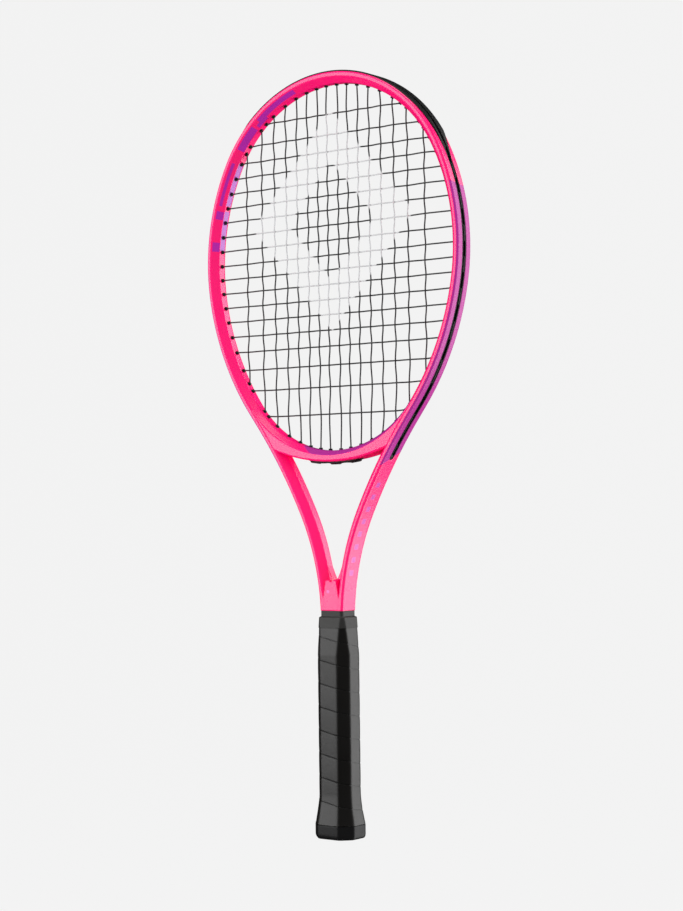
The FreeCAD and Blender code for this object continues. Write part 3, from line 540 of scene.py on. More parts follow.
# How far rays run to a line at the given depth in the outer wall: each ray is crossed with every short
# stretch of that line, and the nearest crossing beyond the start is kept.
def rayReach(start, direction, depth):
    s = np.arange(0, lineMarks["armChannel"][1] + 12, 0.5)
    place, normal = lineAt(s)[:2]
    line = place + normal * depth
    span = np.diff(line, axis=0)
    gap = line[None, :-1] - start[:, None]
    cross = direction[:, None, 0] * span[None, :, 1] - direction[:, None, 1] * span[None, :, 0]
    cross = np.where(np.abs(cross) < 1e-9, 1e-9, cross)
    reach = (gap[..., 0] * span[:, 1] - gap[..., 1] * span[:, 0]) / cross
    share = (gap[..., 0] * direction[:, None, 1] - gap[..., 1] * direction[:, None, 0]) / cross
    return np.where((share >= 0) & (share <= 1) & (reach > 1), reach, 1e6).min(1)


bridge = dict(low=346.8, cornerTurn=21.2, thick=10.1, underRadius=180.0, halfDepth=10.35, shoulder=4.4,
              bevel=1.2, armWall=3.4, freeHalf=35.0, lowerLeast=1.6, cuts=(1.5, 1.5, 0.9, 0.9))


# The right half of the bridge's upper wall: a corner arc tangent to the head's inner wall, and a bottom
# arc to the middle. Their radii close the shape at the bridge's low point.
def bridgeLine(settings):
    start, normal, first = lineAt(lineMarks["run"][0])
    start = start + normal * tube["width"]
    middle = first + math.radians(settings["cornerTurn"])
    grid = np.array([[math.sin(middle) - math.sin(first), -math.sin(middle)],
                     [math.cos(middle) - math.cos(first), -1 - math.cos(middle)]])
    corner, bottom = np.linalg.solve(grid, np.array([-start[0], settings["low"] - start[1]]))
    h = np.linspace(first, middle, 40)
    cornerCentre = start - corner * np.array([math.sin(first), math.cos(first)])
    upper = cornerCentre + corner * np.stack([np.sin(h), np.cos(h)], 1)
    g = np.linspace(middle, math.pi, 60)[1:]
    lower = np.array([0, settings["low"] + bottom]) + bottom * np.stack([np.sin(g), np.cos(g)], 1)
    return np.concatenate([upper, lower]), np.concatenate([h, g])


bridgePlace, bridgeHeading = bridgeLine(bridge)


throat = dict(crotch=229.0, crotchRadius=2.8, notchTop=243.0, notchHalf=8.0,
              grooveEnd=214.0, ridgeEnd=230.6,
              legHalf=(11.3, 9.6), legStart=203.5, legStep=0.6, legEnd=201.5, legBottom=7.0,
              stubLength=3.0, sharpSpan=14.0, sharpLeast=0.15)


# How far inwards the arm reaches at each row: to its own inner wall, or where the web fills the crotch,
# to the notch's edge or the racket's middle.
def throatLimit(place, normal):
    p = np.linspace(0, 40, 801)
    x = place[:, 0, None] + normal[:, 0, None] * p
    z = place[:, 1, None] + normal[:, 1, None] * p
    low = throat["crotch"] + throat["crotchRadius"]
    circle = np.sqrt(np.clip(throat["crotchRadius"] ** 2 - (low - z) ** 2, 0, None))
    slope = (throat["notchHalf"] - throat["crotchRadius"]) / (throat["notchTop"] - low)
    wedge = throat["crotchRadius"] + (z - low) * slope
    edge = np.where(z < throat["crotch"], 0.0, np.where(z < low, circle, wedge))
    inside = x - edge
    outAt = np.argmax(inside < 0, axis=1)
    i = np.arange(len(place))
    a, b = inside[i, outAt - 1], inside[i, outAt]
    reach = p[outAt - 1] + (p[1] - p[0]) * a / (a - b + 1e-12)
    webbed = (z[i, outAt] < throat["notchTop"]) & (inside.min(1) < 0)
    middle = webbed & (edge[i, outAt] <= 0)
    return np.where(webbed, np.maximum(reach, tube["width"]), tube["width"]), middle


# Half depth of the web's face: the inner wall's at the crotch, rising to flush at the end.
def grooveHeight(z, end):
    low = throat["crotch"] + throat["crotchRadius"]
    share = np.clip((low - z) / (low - end), 0, 1)
    return tube["innerFlat"] + (tube["halfDepth"] - tube["innerFlat"]) * share


# Distances of the rows from the crown: coarse on the arcs, fine at the channel's end and crotch.
def frameRows():
    end = lineMarks["armChannel"][1]
    total = fineLine[-1, 0]
    stub = end + throat["stubLength"] * np.sin(np.linspace(0, math.pi / 2, 12))
    fineStart, step = total - tube["fineSpan"], tube["rowStep"]
    return np.unique(np.round(np.concatenate([
        np.arange(0, end, step), stub, np.arange(end + 4, fineStart, step),
        np.arange(fineStart, total, tube["fineStep"]), [total]]), 4))


# Corners and cuts of the tube's section at each row, as (distance inwards, depth).
def frameSection(s):
    place, normal = lineAt(s)[:2]
    rows = len(s)
    limit, middle = throatLimit(place, normal)
    slope = (tube["halfDepth"] - tube["innerFlat"]) / (tube["width"] - tube["bevelStart"])
    bevelEnd = np.full(rows, tube["width"])
    for _ in range(10):
        zAt = place[:, 1] + normal[:, 1] * bevelEnd
        groove = grooveHeight(zAt, throat["grooveEnd"])
        height = np.where(zAt < throat["notchTop"], groove, tube["innerFlat"])
        bevelEnd = tube["bevelStart"] + (tube["halfDepth"] - height) / slope
    web = np.clip((limit - tube["width"]) / 1.0, 0, 1)
    bevelEnd = np.maximum(bevelEnd, tube["bevelStart"] + 0.05)
    zLimit = place[:, 1] + normal[:, 1] * limit
    ridge = grooveHeight(zLimit, throat["ridgeEnd"])
    limitHeight = np.where(limit > tube["width"] + 1e-6, ridge, tube["innerFlat"])
    share = 0.6 + 0.4 * web
    kneeP = tube["bevelStart"] + (bevelEnd - tube["bevelStart"]) * share
    kneeQ = tube["halfDepth"] - (kneeP - tube["bevelStart"]) * slope
    rise = kneeP + 0.12 + 0.04 * np.maximum(limitHeight - kneeQ, 0)
    plain = kneeP + 0.5 * (limit - kneeP)
    ridgeP = np.minimum(plain * (1 - web) + rise * web, limit - 0.2)
    ridgeQ = (kneeQ + 0.5 * (limitHeight - kneeQ)) * (1 - web) + limitHeight * web
    channelEnd = lineMarks["armChannel"][1]
    past = np.clip((s - channelEnd) / throat["stubLength"], 0, 1)
    half = np.maximum(tube["channelHalf"] * np.sqrt(1 - past ** 2), 0.02)
    deep = np.where(past < 1, tube["channelDepth"], 0.0)
    one = np.ones(rows)
    corners = np.stack([
        np.stack([deep, half], 1), np.stack([0 * one, half], 1),
        np.stack([0 * one, tube["outerFlat"] * one], 1),
        np.stack([tube["outerBevel"] * one, tube["halfDepth"] * one], 1),
        np.stack([tube["bevelStart"] * one, tube["halfDepth"] * one], 1),
        np.stack([kneeP, kneeQ], 1), np.stack([ridgeP, ridgeQ], 1), np.stack([limit, limitHeight], 1)], 1)
    sharp = np.clip((zLimit - throat["crotch"]) / throat["sharpSpan"], throat["sharpLeast"], 1.0)
    sharp = np.where(middle, 0.0, sharp)
    rounds = tube["rounds"]
    cuts = np.stack([rounds["floor"] * one, rounds["lip"] * np.minimum(1, half), rounds["outer"] * one,
                     rounds["front"] * one, rounds["bevel"] * one, rounds["knee"] * one - 0.4 * web,
                     rounds["ridge"] * one - 0.1 * web, rounds["inner"] * sharp], 1)
    return place, normal, corners, cuts, middle


# The whole tube from the foot of the left leg over the crown to the right one. A section of (distance
# inwards, depth) rides on the outer wall, and where the two arms meet on the middle plane their walls
# are left out and their edges welded.
def frameShell():
    s = frameRows()
    place, normal, corners, cuts, middle = frameSection(s)
    legTop = throat["legStart"]
    legRows = np.array([legTop, legTop - throat["legStep"], throat["legEnd"], throat["legBottom"]])
    total = s[-1]
    width, depth = throat["legHalf"]
    foot = np.stack([np.array([place[-1, 0], width, width, width]), legRows], 1)
    footNormal = np.tile([-1.0, 0.0], (4, 1))
    tall = tube["halfDepth"]
    squeeze = np.array([1.0, depth / tall, depth / tall, depth / tall])
    footCorners = np.repeat(corners[-1:], 4, 0)
    footCorners[:, :, 0] *= (foot[:, 0] / corners[-1, -1, 0])[:, None]
    footCorners[:, :, 1] *= squeeze[:, None]
    keep = place[:, 1] > legTop + 0.3
    s = np.concatenate([s[keep], total + legTop - legRows])
    place, normal = np.concatenate([place[keep], foot]), np.concatenate([normal[keep], footNormal])
    corners = np.concatenate([corners[keep], footCorners])
    cuts = np.concatenate([cuts[keep], np.repeat(cuts[-1:], 4, 0)])
    middle = np.concatenate([middle[keep], np.ones(4, bool)])
    loop, loopCuts = mirroredSection(corners, cuts)
    ring = roundedLoop(loop, loopCuts, 6, 4)
    columns = ring.shape[1]
    flat = place[:, None] + normal[:, None] * ring[:, :, :1]
    limit = corners[:, -1, 0]
    atMiddle = middle[:, None] & (ring[:, :, 0] > limit[:, None] - 1e-3)
    flat[..., 0] = np.where(atMiddle, 0.0, flat[..., 0])
    half = np.stack([flat[..., 0], ring[..., 1], flat[..., 1]], -1) * mm
    other = half[:0:-1] * np.array([-1.0, 1.0, 1.0])
    points = np.concatenate([other, half])
    along = np.concatenate([-s[:0:-1], s])[:, None] * np.ones(columns) * mm
    inward = np.concatenate([ring[:0:-1, :, 0], ring[:, :, 0]]) * mm
    depthAt = np.concatenate([ring[:0:-1, :, 1], ring[:, :, 1]]) * mm
    faces = gridFaces(len(points), columns)
    onMiddle = np.concatenate([atMiddle[:0:-1], atMiddle]).ravel()
    faces = faces[~onMiddle[faces].all(1)]
    return meshPiece("frameShell", points, [faces] + endCaps(len(points), columns), finishes["lacquer"],
                     dict(along=along, inward=inward, depth=depthAt), 2e-6)


# A closed section of (distance inwards, depth) carried along a line, with both ends capped.
def sweptPiece(name, place, normal, corners, cuts, material, arcSteps=5, flatSteps=2, mirror=False):
    ring = roundedLoop(corners, cuts, arcSteps, flatSteps)
    flat = place[:, None] + normal[:, None] * ring[:, :, :1]
    points = np.stack([flat[..., 0], ring[..., 1], flat[..., 1]], -1) * mm
    if mirror:
        points = points * np.array([-1.0, 1.0, 1.0])
    rows, columns = ring.shape[:2]
    faces = [gridFaces(rows, columns)] + endCaps(rows, columns)
    return meshPiece(name, points, faces, material, dict(inward=ring[..., 0] * mm, depth=ring[..., 1] * mm))


# A right half line joined to its mirror image, from the right end to the left one.
def bothHalves(place, heading):
    normal = np.stack([-np.sin(heading), -np.cos(heading)], 1)
    side = np.array([-1.0, 1.0])
    return np.concatenate([place, place[-2::-1] * side]), np.concatenate([normal, normal[-2::-1] * side])


# A section that reaches from the upper wall to the underside's arc, and stops inside the arms.
def throatBridge(settings):
    place, normal = bothHalves(bridgePlace, bridgeHeading)
    normal = -normal
    rows = len(place)
    offset = place - np.array([0.0, settings["low"] - settings["thick"] + settings["underRadius"]])
    along = (offset * normal).sum(1)
    thick = -along + np.sqrt(along ** 2 - (offset ** 2).sum(1) + settings["underRadius"] ** 2)
    side = np.stack([np.abs(place[:, 0]), place[:, 1]], 1)
    outward = np.stack([np.abs(normal[:, 0]), normal[:, 1]], 1)
    room = rayReach(side, outward, 0.0) - settings["armWall"]
    thick = np.minimum(thick, np.where(np.abs(place[:, 0]) > settings["freeHalf"], room, 1e3))
    one = np.ones(rows)
    shoulder = np.minimum(settings["shoulder"], thick - settings["lowerLeast"])
    corners = np.stack([np.stack([0 * one, tube["innerFlat"] * one], 1),
                        np.stack([shoulder, settings["halfDepth"] * one], 1),
                        np.stack([thick - settings["bevel"], settings["halfDepth"] * one], 1),
                        np.stack([thick, (settings["halfDepth"] - settings["bevel"]) * one], 1)], 1)
    corners, cuts = mirroredSection(corners, np.repeat([settings["cuts"]], rows, 0))
    return sweptPiece("throatBridge", place, normal, corners, cuts, finishes["bridge"], 6, 4)


pieceFrame = frameShell()
pieceBridge = throatBridge(bridge)
print("frame and bridge made:", len(pieceFrame.data.polygons), len(pieceBridge.data.polygons), "faces")


strings = dict(radius=0.65, weave=0.68, mains=[5.9, 16.9, 28.3, 40.6, 53.2, 67.1, 81.8, 99.7],
               crosses=[648.5, 630.0, 615.0, 602.0, 588.5, 575.5, 562.5, 549.0, 535.5, 522.0,
                        509.0, 496.0, 482.5, 469.0, 455.0, 440.5, 423.5, 404.0, 379.5],
               loopDepth=0.75, loopSide=0.78, edge=2.5, sides=10,
               longBarrels={3: (63.5, 342.0), 4: (68.5, 350.0)})
barrel = dict(radius=1.8, bore=0.85, proud=1.5, sides=20)


# The head's inner edge on the right, from the top to the bridge's middle: place and heading.
def headEdge():
    s = np.arange(0, lineMarks["run"][0], 0.5)
    place, normal, heading = lineAt(s)
    inner = place + normal * tube["width"]
    return np.concatenate([inner, bridgePlace]), np.concatenate([heading, bridgeHeading])


edgePlace, edgeHeading = headEdge()
widest = int(np.argmax(edgePlace[:, 0]))


# Places and headings on the head's inner edge, for heights z or for x on its upper or lower part.
def edgeAt(x=None, z=None, top=True):
    if z is not None:
        value, key, span = z, edgePlace[:, 1][::-1], slice(None, None, -1)
    elif top:
        value, key, span = x, edgePlace[:widest + 1, 0], slice(0, widest + 1)
    else:
        value, key = x, edgePlace[widest:, 0][::-1]
        span = slice(len(edgePlace), widest - 1 if widest else None, -1)
    table = np.column_stack([edgePlace, edgeHeading])[span]
    columns = [np.interp(value, key, table[:, k]) for k in range(3)]
    return np.stack(columns[:2], -1), columns[2]


# Where rays reach the strings' line in the channel: the start plus the direction times the reach.
def channelHit(start, direction):
    return start + direction * rayReach(start, direction, strings["loopDepth"])[:, None]


# Each hole's inner and outer end as (x, depth, z): a barrel points halfway between the wall's outward
# normal and the string's pull.
def holes(inner, heading, pull, side, outer=None):
    outward = np.stack([np.sin(heading), np.cos(heading)], -1)
    direction = outward + pull
    direction /= np.linalg.norm(direction, axis=1, keepdims=True)
    end = channelHit(inner, direction) if outer is None else outer
    flat = np.zeros(len(inner))
    return (np.stack([inner[:, 0], flat, inner[:, 1]], 1),
            np.stack([end[:, 0], flat + side, end[:, 1]], 1))


# Hole ends on the right half: mains at the top and at the low end, crosses at the side. The first
# three mains end under the bridge, and the long barrels aim at given places in the arm.
def allHoles():
    mains = np.array(strings["mains"])
    place, heading = edgeAt(x=mains, top=True)
    top = holes(place, heading, np.array([0.0, 1.0]), -strings["loopSide"])
    place, heading = edgeAt(x=mains, top=False)
    low = holes(place, heading, np.array([0.0, -1.0]), -strings["loopSide"])
    for index, aim in strings["longBarrels"].items():
        start = place[index]
        direction = (np.array(aim) - start) / np.linalg.norm(np.array(aim) - start)
        hit = channelHit(start[None], direction[None])[0]
        low[1][index] = (hit[0], -strings["loopSide"], hit[1])
    under = bridge["underRadius"] + bridgeStrip["thick"] + 0.3
    centre = bridge["low"] - bridge["thick"] + bridge["underRadius"]
    x = mains[:3]
    low[1][:3] = np.stack([x, 0 * x, centre - np.sqrt(under ** 2 - x ** 2)], 1)
    place, heading = edgeAt(z=np.array(strings["crosses"]))
    cross = holes(place, heading, np.array([1.0, 0.0]), strings["loopSide"])
    return dict(top=top, low=low, cross=cross)


bridgeStrip = dict(half=31.0, thick=1.7, depth=3.4, bump=0.7, bumps=(-16.9, 0.0, 16.9))
holeEnds = allHoles()


# A barrel's mouth: its inner end, standing proud into the head.
def mouthOf(inner, outer):
    direction = outer - inner
    direction = direction / np.linalg.norm(direction, axis=-1, keepdims=True)
    return inner - direction * barrel["proud"]


# Short tubes with rounded lips: a ring of (radius, place along) turned about each hole's axis.
def barrelTubes(ends, backOff, both):
    inner, outer = ends
    start = mouthOf(inner, outer)
    axis = outer - start
    length = np.linalg.norm(axis, axis=1, keepdims=True)
    axis = axis / length
    side = np.cross(axis, [0.0, 1.0, 0.0])
    side /= np.linalg.norm(side, axis=1, keepdims=True)
    up = np.cross(side, axis)
    r, b = barrel["radius"], barrel["bore"]
    radii = np.array([b, b, b + 0.15, r - 0.25, r, r, r - 0.3])
    along = np.stack([length[:, 0] - backOff, 0 * length[:, 0] + 0.3, 0 * length[:, 0],
                      0 * length[:, 0], 0 * length[:, 0] + 0.3, length[:, 0] - backOff - 0.2,
                      length[:, 0] - backOff], 1)
    turn = np.arange(barrel["sides"]) * 2 * math.pi / barrel["sides"]
    ring = (side[:, None, None] * np.cos(turn)[None, None, :, None]
            + up[:, None, None] * np.sin(turn)[None, None, :, None]) * radii[None, :, None, None]
    points = start[:, None, None] + axis[:, None, None] * along[:, :, None, None] + ring
    if both:
        points = np.concatenate([points, points * np.array([-1.0, 1.0, 1.0])])
    tubes, rows, columns = points.shape[:3]
    one = gridFaces(rows, columns, True, True)
    faces = (np.arange(tubes)[:, None, None] * rows * columns + one[None]).reshape(-1, 4)
    return points.reshape(-1, 3) * mm, faces


# Other pieces' meshes are added to the main one's, and their objects go.
def joinPieces(main, others):
    work = bmesh.new()
    work.from_mesh(main.data)
    for other in others:
        work.from_mesh(other.data)
    work.to_mesh(main.data)
    work.free()
    for other in others:
        bpy.data.objects.remove(other)
    return main


# Some of the holes, by their index.
def pick(ends, keys):
    return ends[0][keys], ends[1][keys]


guard = dict(proud=1.2, wide=9.35, tail=2.85, taperFront=98.0, taperBack=136.0, grooveHalf=1.85,
             grooveDeep=2.1, chamfer=0.9, thinned=0.75)
strip = dict(half=2.85, top=0.1, floor=2.75, grooveHalf=1.85, grooveDeep=2.1)


# The guard's flange over the crown narrows to the strip's width over its last stretch.
def bumperGuard(settings):
    end = lineMarks["guardEnd"][1] - 0.3
    s = np.arange(0, end, 1.3)
    s = np.append(s, end)
    s = np.concatenate([-s[:0:-1], s])
    place, normal = lineAt(np.abs(s))[:2]
    mirror = np.stack([np.sign(s) + (s == 0), np.ones_like(s)], 1)
    place, normal = place * mirror, normal * mirror
    one = np.ones_like(s)
    past = (np.abs(s) - settings["taperBack"]) / (end - settings["taperBack"])
    proud = -settings["proud"] * (1 - settings["thinned"] * eased(past))
    halves = []
    for start in (settings["taperBack"], settings["taperFront"]):
        share = np.clip((np.abs(s) - start) / (end - start), 0, 1)
        wide = settings["wide"] + (settings["tail"] - settings["wide"]) * share
        halves.append(np.stack([
            np.stack([settings["grooveDeep"] * one, settings["grooveHalf"] * one], 1),
            np.stack([proud, settings["grooveHalf"] * one], 1),
            np.stack([proud, np.maximum(wide - settings["chamfer"], settings["grooveHalf"] + 0.2)], 1),
            np.stack([0.45 * proud, wide], 1), np.stack([0.02 * one, wide], 1),
            np.stack([0.02 * one, np.minimum(wide - 0.05, strip["half"]) * one], 1),
            np.stack([strip["floor"] * one, strip["half"] * one * 0.98], 1)], 1))
    cuts = np.repeat([[0.15, 0.35, 0.6, 0.3, 0.1, 0.05, 0.1]], len(s), 0)
    loop = np.concatenate([halves[0][:, ::-1], halves[1] * np.array([1.0, -1.0])], 1)
    loopCuts = np.concatenate([cuts[:, ::-1], cuts], 1)
    body = sweptPiece("bumperGuard", place, normal, loop, loopCuts, finishes["nylon"], 4, 2)
    tubes = []
    for key, picked in (("top", np.arange(8)), ("cross", np.arange(4))):
        points, faces = barrelTubes(pick(holeEnds[key], picked), 1.2, True)
        tubes.append(meshPiece("barrels", points, [faces], finishes["nylon"]))
    return joinPieces(body, tubes)


# A strip in the channel: over its round end the half width is that of a circle, the root of one
# less the share travelled squared.
def sideStrip(name, mirror):
    start, end = lineMarks["guardEnd"][1] + 0.2, lineMarks["armChannel"][1]
    stub = end + strip["half"] * np.sin(np.linspace(0, 1.5, 8))
    s = np.concatenate([np.arange(start, end, 1.8), stub])
    place, normal = lineAt(s)[:2]
    past = np.clip((s - end) / strip["half"], 0, 1)
    half = strip["half"] * np.sqrt(1 - past ** 2)
    groove = np.minimum(strip["grooveHalf"], half * 0.62)
    deep = np.where(s > end - 1.0, strip["top"] + 0.4, strip["grooveDeep"])
    one = np.ones_like(s)
    corners = np.stack([np.stack([strip["floor"] * one, half], 1), np.stack([strip["top"] * one, half], 1),
                        np.stack([strip["top"] * one, groove], 1), np.stack([deep, groove], 1)], 1)
    loop, cuts = mirroredSection(corners, np.repeat([[0.1, 0.3, 0.3, 0.2]], len(s), 0))
    body = sweptPiece(name, place, normal, loop, cuts, finishes["nylon"], 4, 1, mirror)
    tubes = []
    for key, picked in (("cross", np.arange(4, 19)), ("low", np.arange(3, 8))):
        points, faces = barrelTubes(pick(holeEnds[key], picked), 1.2, False)
        points = points * (np.array([-1.0, 1.0, 1.0]) if mirror else 1.0)
        tubes.append(meshPiece("barrels", points, [faces], finishes["nylon"]))
    return joinPieces(body, tubes)


# A curved strip under the bridge, with three low bumps where the strings turn.
def bridgeGrommets(settings):
    outer = bridge["underRadius"]
    reach = math.asin(settings["half"] / outer)
    h = math.pi + np.linspace(-reach, reach, 121)
    normal = np.stack([np.sin(h), np.cos(h)], 1)
    place = np.array([0, bridge["low"] - bridge["thick"] + outer]) + outer * normal
    x = np.sin(h) * outer
    swell = np.exp(-((x[:, None] + np.array(settings["bumps"])) / 5.2) ** 2).sum(1) * settings["bump"]
    ease = np.sqrt(np.clip(1 - (np.abs(x) / (settings["half"] + 0.3)) ** 6, 0.02, 1))
    low = (settings["thick"] + swell - settings["bump"] * 0.5) * ease
    one = np.ones_like(h)
    wide = settings["depth"] * ease
    corners = np.stack([np.stack([-0.6 * one, wide], 1), np.stack([low - 0.5, wide], 1),
                        np.stack([low, wide - 0.6], 1)], 1)
    loop, cuts = mirroredSection(corners, np.repeat([[0.2, 0.4, 0.4]], len(h), 0))
    body = sweptPiece("bridgeGrommets", place, normal, loop, cuts, finishes["nylon"], 4, 2)
    points, faces = barrelTubes(pick(holeEnds["low"], np.arange(3)), 1.4, True)
    return joinPieces(body, [meshPiece("barrels", points, [faces], finishes["nylon"])])


pieceGuard = bumperGuard(guard)
pieceStripRight = sideStrip("grommetStripRight", False)
pieceStripLeft = sideStrip("grommetStripLeft", True)
pieceStripBridge = bridgeGrommets(bridgeStrip)
print("guard and grommet strips made")


# A line through a list of stops, each corner a parabola between points a cut away from it.
def smoothPath(stops, cuts, steps):
    before, after = stops[:-2] - stops[1:-1], stops[2:] - stops[1:-1]
    lengthA = np.linalg.norm(before, axis=1, keepdims=True)
    lengthB = np.linalg.norm(after, axis=1, keepdims=True)
    cut = np.minimum(cuts[1:-1, None], 0.499 * np.minimum(lengthA, lengthB))
    start, end = stops[1:-1] + before / lengthA * cut, stops[1:-1] + after / lengthB * cut
    t = np.linspace(0, 1, steps)[None, :, None]
    arcs = (1 - t) ** 2 * start[:, None] + 2 * t * (1 - t) * stops[1:-1, None] + t ** 2 * end[:, None]
    return np.concatenate([stops[:1], arcs.reshape(-1, 3), stops[-1:]])


# A round tube along a path: circles across its direction, flat to the depth axis.
def stringTube(name, path):
    step = np.linalg.norm(np.diff(path, axis=0), axis=1)
    path = path[np.concatenate([[True], step > 1e-4])]
    tangent = np.gradient(path, axis=0)
    tangent /= np.linalg.norm(tangent, axis=1, keepdims=True)
    side = np.cross(tangent, [0.0, 1.0, 0.0])
    side /= np.linalg.norm(side, axis=1, keepdims=True)
    up = np.cross(side, tangent)
    turn = np.arange(strings["sides"]) * 2 * math.pi / strings["sides"]
    ring = (side[:, None] * np.cos(turn)[:, None] + up[:, None] * np.sin(turn)[:, None]) * strings["radius"]
    points = (path[:, None] + ring) * mm
    rows, columns = points.shape[:2]
    faces = [gridFaces(rows, columns)] + endCaps(rows, columns)
    return meshPiece(name, points, faces, finishes["string"])


# Where the mains stand across the head, from left to right.
def allMains():
    mains = np.array(strings["mains"])
    return np.concatenate([-mains[::-1], mains])


# A main's hole ends, counted from the left.
def holeOf(kind, index):
    count = len(strings["mains"])
    flip = np.array([-1.0, 1.0, 1.0]) if index < count else np.ones(3)
    at = count - 1 - index if index < count else index - count
    return holeEnds[kind][0][at] * flip, holeEnds[kind][1][at] * flip


# Stops and cuts of one run: barrel, woven crossings, barrel.
def runStops(entry, leave, crossings):
    mouths = mouthOf(*entry), mouthOf(*leave)
    stops = np.concatenate([[entry[1], mouths[0]], crossings, [mouths[1], leave[1]]])
    cuts = np.concatenate([[1.4, 1.2], np.full(len(crossings), 50.0), [1.2, 1.4]])
    return stops, cuts


# Crossing places, with twice the weave so that the parabolas between them reach it once.
def wovenCrossings(x, z, side):
    return np.stack([x, 2.05 * strings["weave"] * side, z], 1)


# Up one main and down the next. A crossing's side follows whether i + j is even.
def mainStringPath():
    x, z = allMains(), np.array(strings["crosses"])
    reach = edgeAt(z=z)[0][:, 0] - strings["edge"]
    stops, cuts = [], []
    for i, at in enumerate(x):
        inside = np.abs(at) < reach
        j = np.nonzero(inside)[0]
        side = np.where((i + j) % 2 == 0, 1.0, -1.0)
        crossings = wovenCrossings(np.full(len(j), at), z[j], side)
        low, top = holeOf("low", i), holeOf("top", i)
        rising = i % 2 == 0
        run = runStops(low, top, crossings[::-1]) if rising else runStops(top, low, crossings)
        stops.append(run[0])
        cuts.append(run[1])
    return smoothPath(np.concatenate(stops), np.concatenate(cuts), 7)


# Across one way and back the next, on the other side of each crossing from the main.
def crossStringPath():
    x, z = allMains(), np.array(strings["crosses"])
    reach = edgeAt(z=z)[0][:, 0] - strings["edge"]
    flip = np.array([-1.0, 1.0, 1.0])
    stops, cuts = [], []
    for j, at in enumerate(z):
        i = np.nonzero(np.abs(x) < reach[j])[0]
        side = np.where((i + j) % 2 == 0, -1.0, 1.0)
        crossings = wovenCrossings(x[i], np.full(len(i), at), side)
        right = holeEnds["cross"][0][j], holeEnds["cross"][1][j]
        left = right[0] * flip, right[1] * flip
        run = runStops(left, right, crossings) if j % 2 == 0 else runStops(right, left, crossings[::-1])
        stops.append(run[0])
        cuts.append(run[1])
    return smoothPath(np.concatenate(stops), np.concatenate(cuts), 7)


pieceMains = stringTube("mainString", mainStringPath())
pieceCrosses = stringTube("crossString", crossStringPath())
print("strings made")


grip = dict(bottom=12.8, top=196.0, low=(21.8, 18.9, 10.1), full=(17.95, 15.35, 8.0),
            slim=(14.2, 12.0, 2.9), flareTop=40.0, taperStart=164.0, inner=1.3,
            pitch=20.9, phase=0.36, columns=168, perTurn=36,
            crown=0.16, lapRise=0.19, sharpness=30.0)


# Distance from the axis to an octagon with softened corners: a high power mean of its faces.
def octagonRadius(turn, halfX, halfY, bevel, sharpness):
    c, s = np.abs(np.cos(turn)), np.abs(np.sin(turn))
    slant = halfX + halfY - bevel
    faces = np.stack(np.broadcast_arrays(c / halfX, s / halfY, (c + s) / slant))
    return (faces ** sharpness).sum(0) ** (-1 / sharpness)


# Half widths and bevel of the grip at a height: a flare at the foot, a taper at the top.
def gripSize(z, settings):
    rise = (z - settings["bottom"]) / (settings["flareTop"] - settings["bottom"])
    flare = (1 - np.clip(rise, 0, 1)) ** 1.5
    taper = np.clip((z - settings["taperStart"]) / (settings["top"] - settings["taperStart"]), 0, 1)
    return [full + (low - full) * flare + (slim - full) * taper
            for full, low, slim in zip(settings["full"], settings["low"], settings["slim"])]


# A sleeve whose outer rows follow the wrap's helix: height is pitch times (row phase minus the turn),
# and the radius is the octagon's plus a low crown and a step across each lap.
def gripWrap(settings):
    columns, per = settings["columns"], settings["perTurn"]
    turn = np.linspace(0, 2 * math.pi, columns + 1)
    turns = (settings["top"] - settings["bottom"]) / settings["pitch"] + 1
    lapShares = np.concatenate([[0, 0.012, 0.03, 0.05, 0.075], np.linspace(0.1, 0.97, per - 8),
                                [0.985, 0.995]])
    phase = (np.arange(int(turns) + 2)[:, None] + lapShares[None]).ravel()
    lap = np.tile(lapShares, int(turns) + 2)
    climb = phase[:, None] - settings["phase"] - turn[None] / (2 * math.pi)
    z = settings["bottom"] + settings["pitch"] * climb
    z = np.clip(z, settings["bottom"], settings["top"])
    share = lap[:, None] + 0 * turn[None]
    relief = (settings["crown"] * np.sin(math.pi * share) ** 0.6
              + settings["lapRise"] * (0.35 * share - 1 + eased(share / 0.06)))
    radius = octagonRadius(turn[None], *gripSize(z, settings), settings["sharpness"]) + relief - 0.1
    outer = np.stack([radius * np.cos(turn), radius * np.sin(turn), z], -1)
    zIn = np.linspace(settings["top"], settings["bottom"], 12)[:, None] + 0 * turn[None]
    wall = octagonRadius(turn[None], *gripSize(zIn, settings), settings["sharpness"]) - settings["inner"]
    inner = np.stack([wall * np.cos(turn), wall * np.sin(turn), zIn], -1)
    rows = len(outer)
    points = np.concatenate([outer, inner]).reshape(-1, 3) * mm
    wide = columns + 1
    faces = [gridFaces(rows, wide, False), gridFaces(12, wide, False, first=rows * wide)]
    j = np.arange(columns)
    topRow, innerTop = (rows - 1) * wide, rows * wide
    innerLow = (rows + 11) * wide
    faces.append(np.stack([topRow + j, topRow + j + 1, innerTop + j + 1, innerTop + j], 1))
    faces.append(np.stack([innerLow + j, innerLow + j + 1, j + 1, j], 1))
    lapAt = np.concatenate([share, 0 * zIn + 0.5])
    return meshPiece("gripWrap", points, faces, finishes["grip"], dict(lap=lapAt), 2e-6)


# A closed sleeve: octagon rings of (half x, half y, bevel, height) joined in a loop.
def ringStack(name, rings, material, sharpness=46.0, columns=144):
    turn = np.arange(columns) * 2 * math.pi / columns
    values = np.array(rings)
    halfX, halfY, bevel, height = [values[:, k, None] for k in range(4)]
    radius = octagonRadius(turn[None], halfX, halfY, bevel, sharpness)
    points = np.stack([radius * np.cos(turn), radius * np.sin(turn), height + 0 * radius], -1) * mm
    return meshPiece(name, points, [gridFaces(len(rings), columns, True, True)], material)


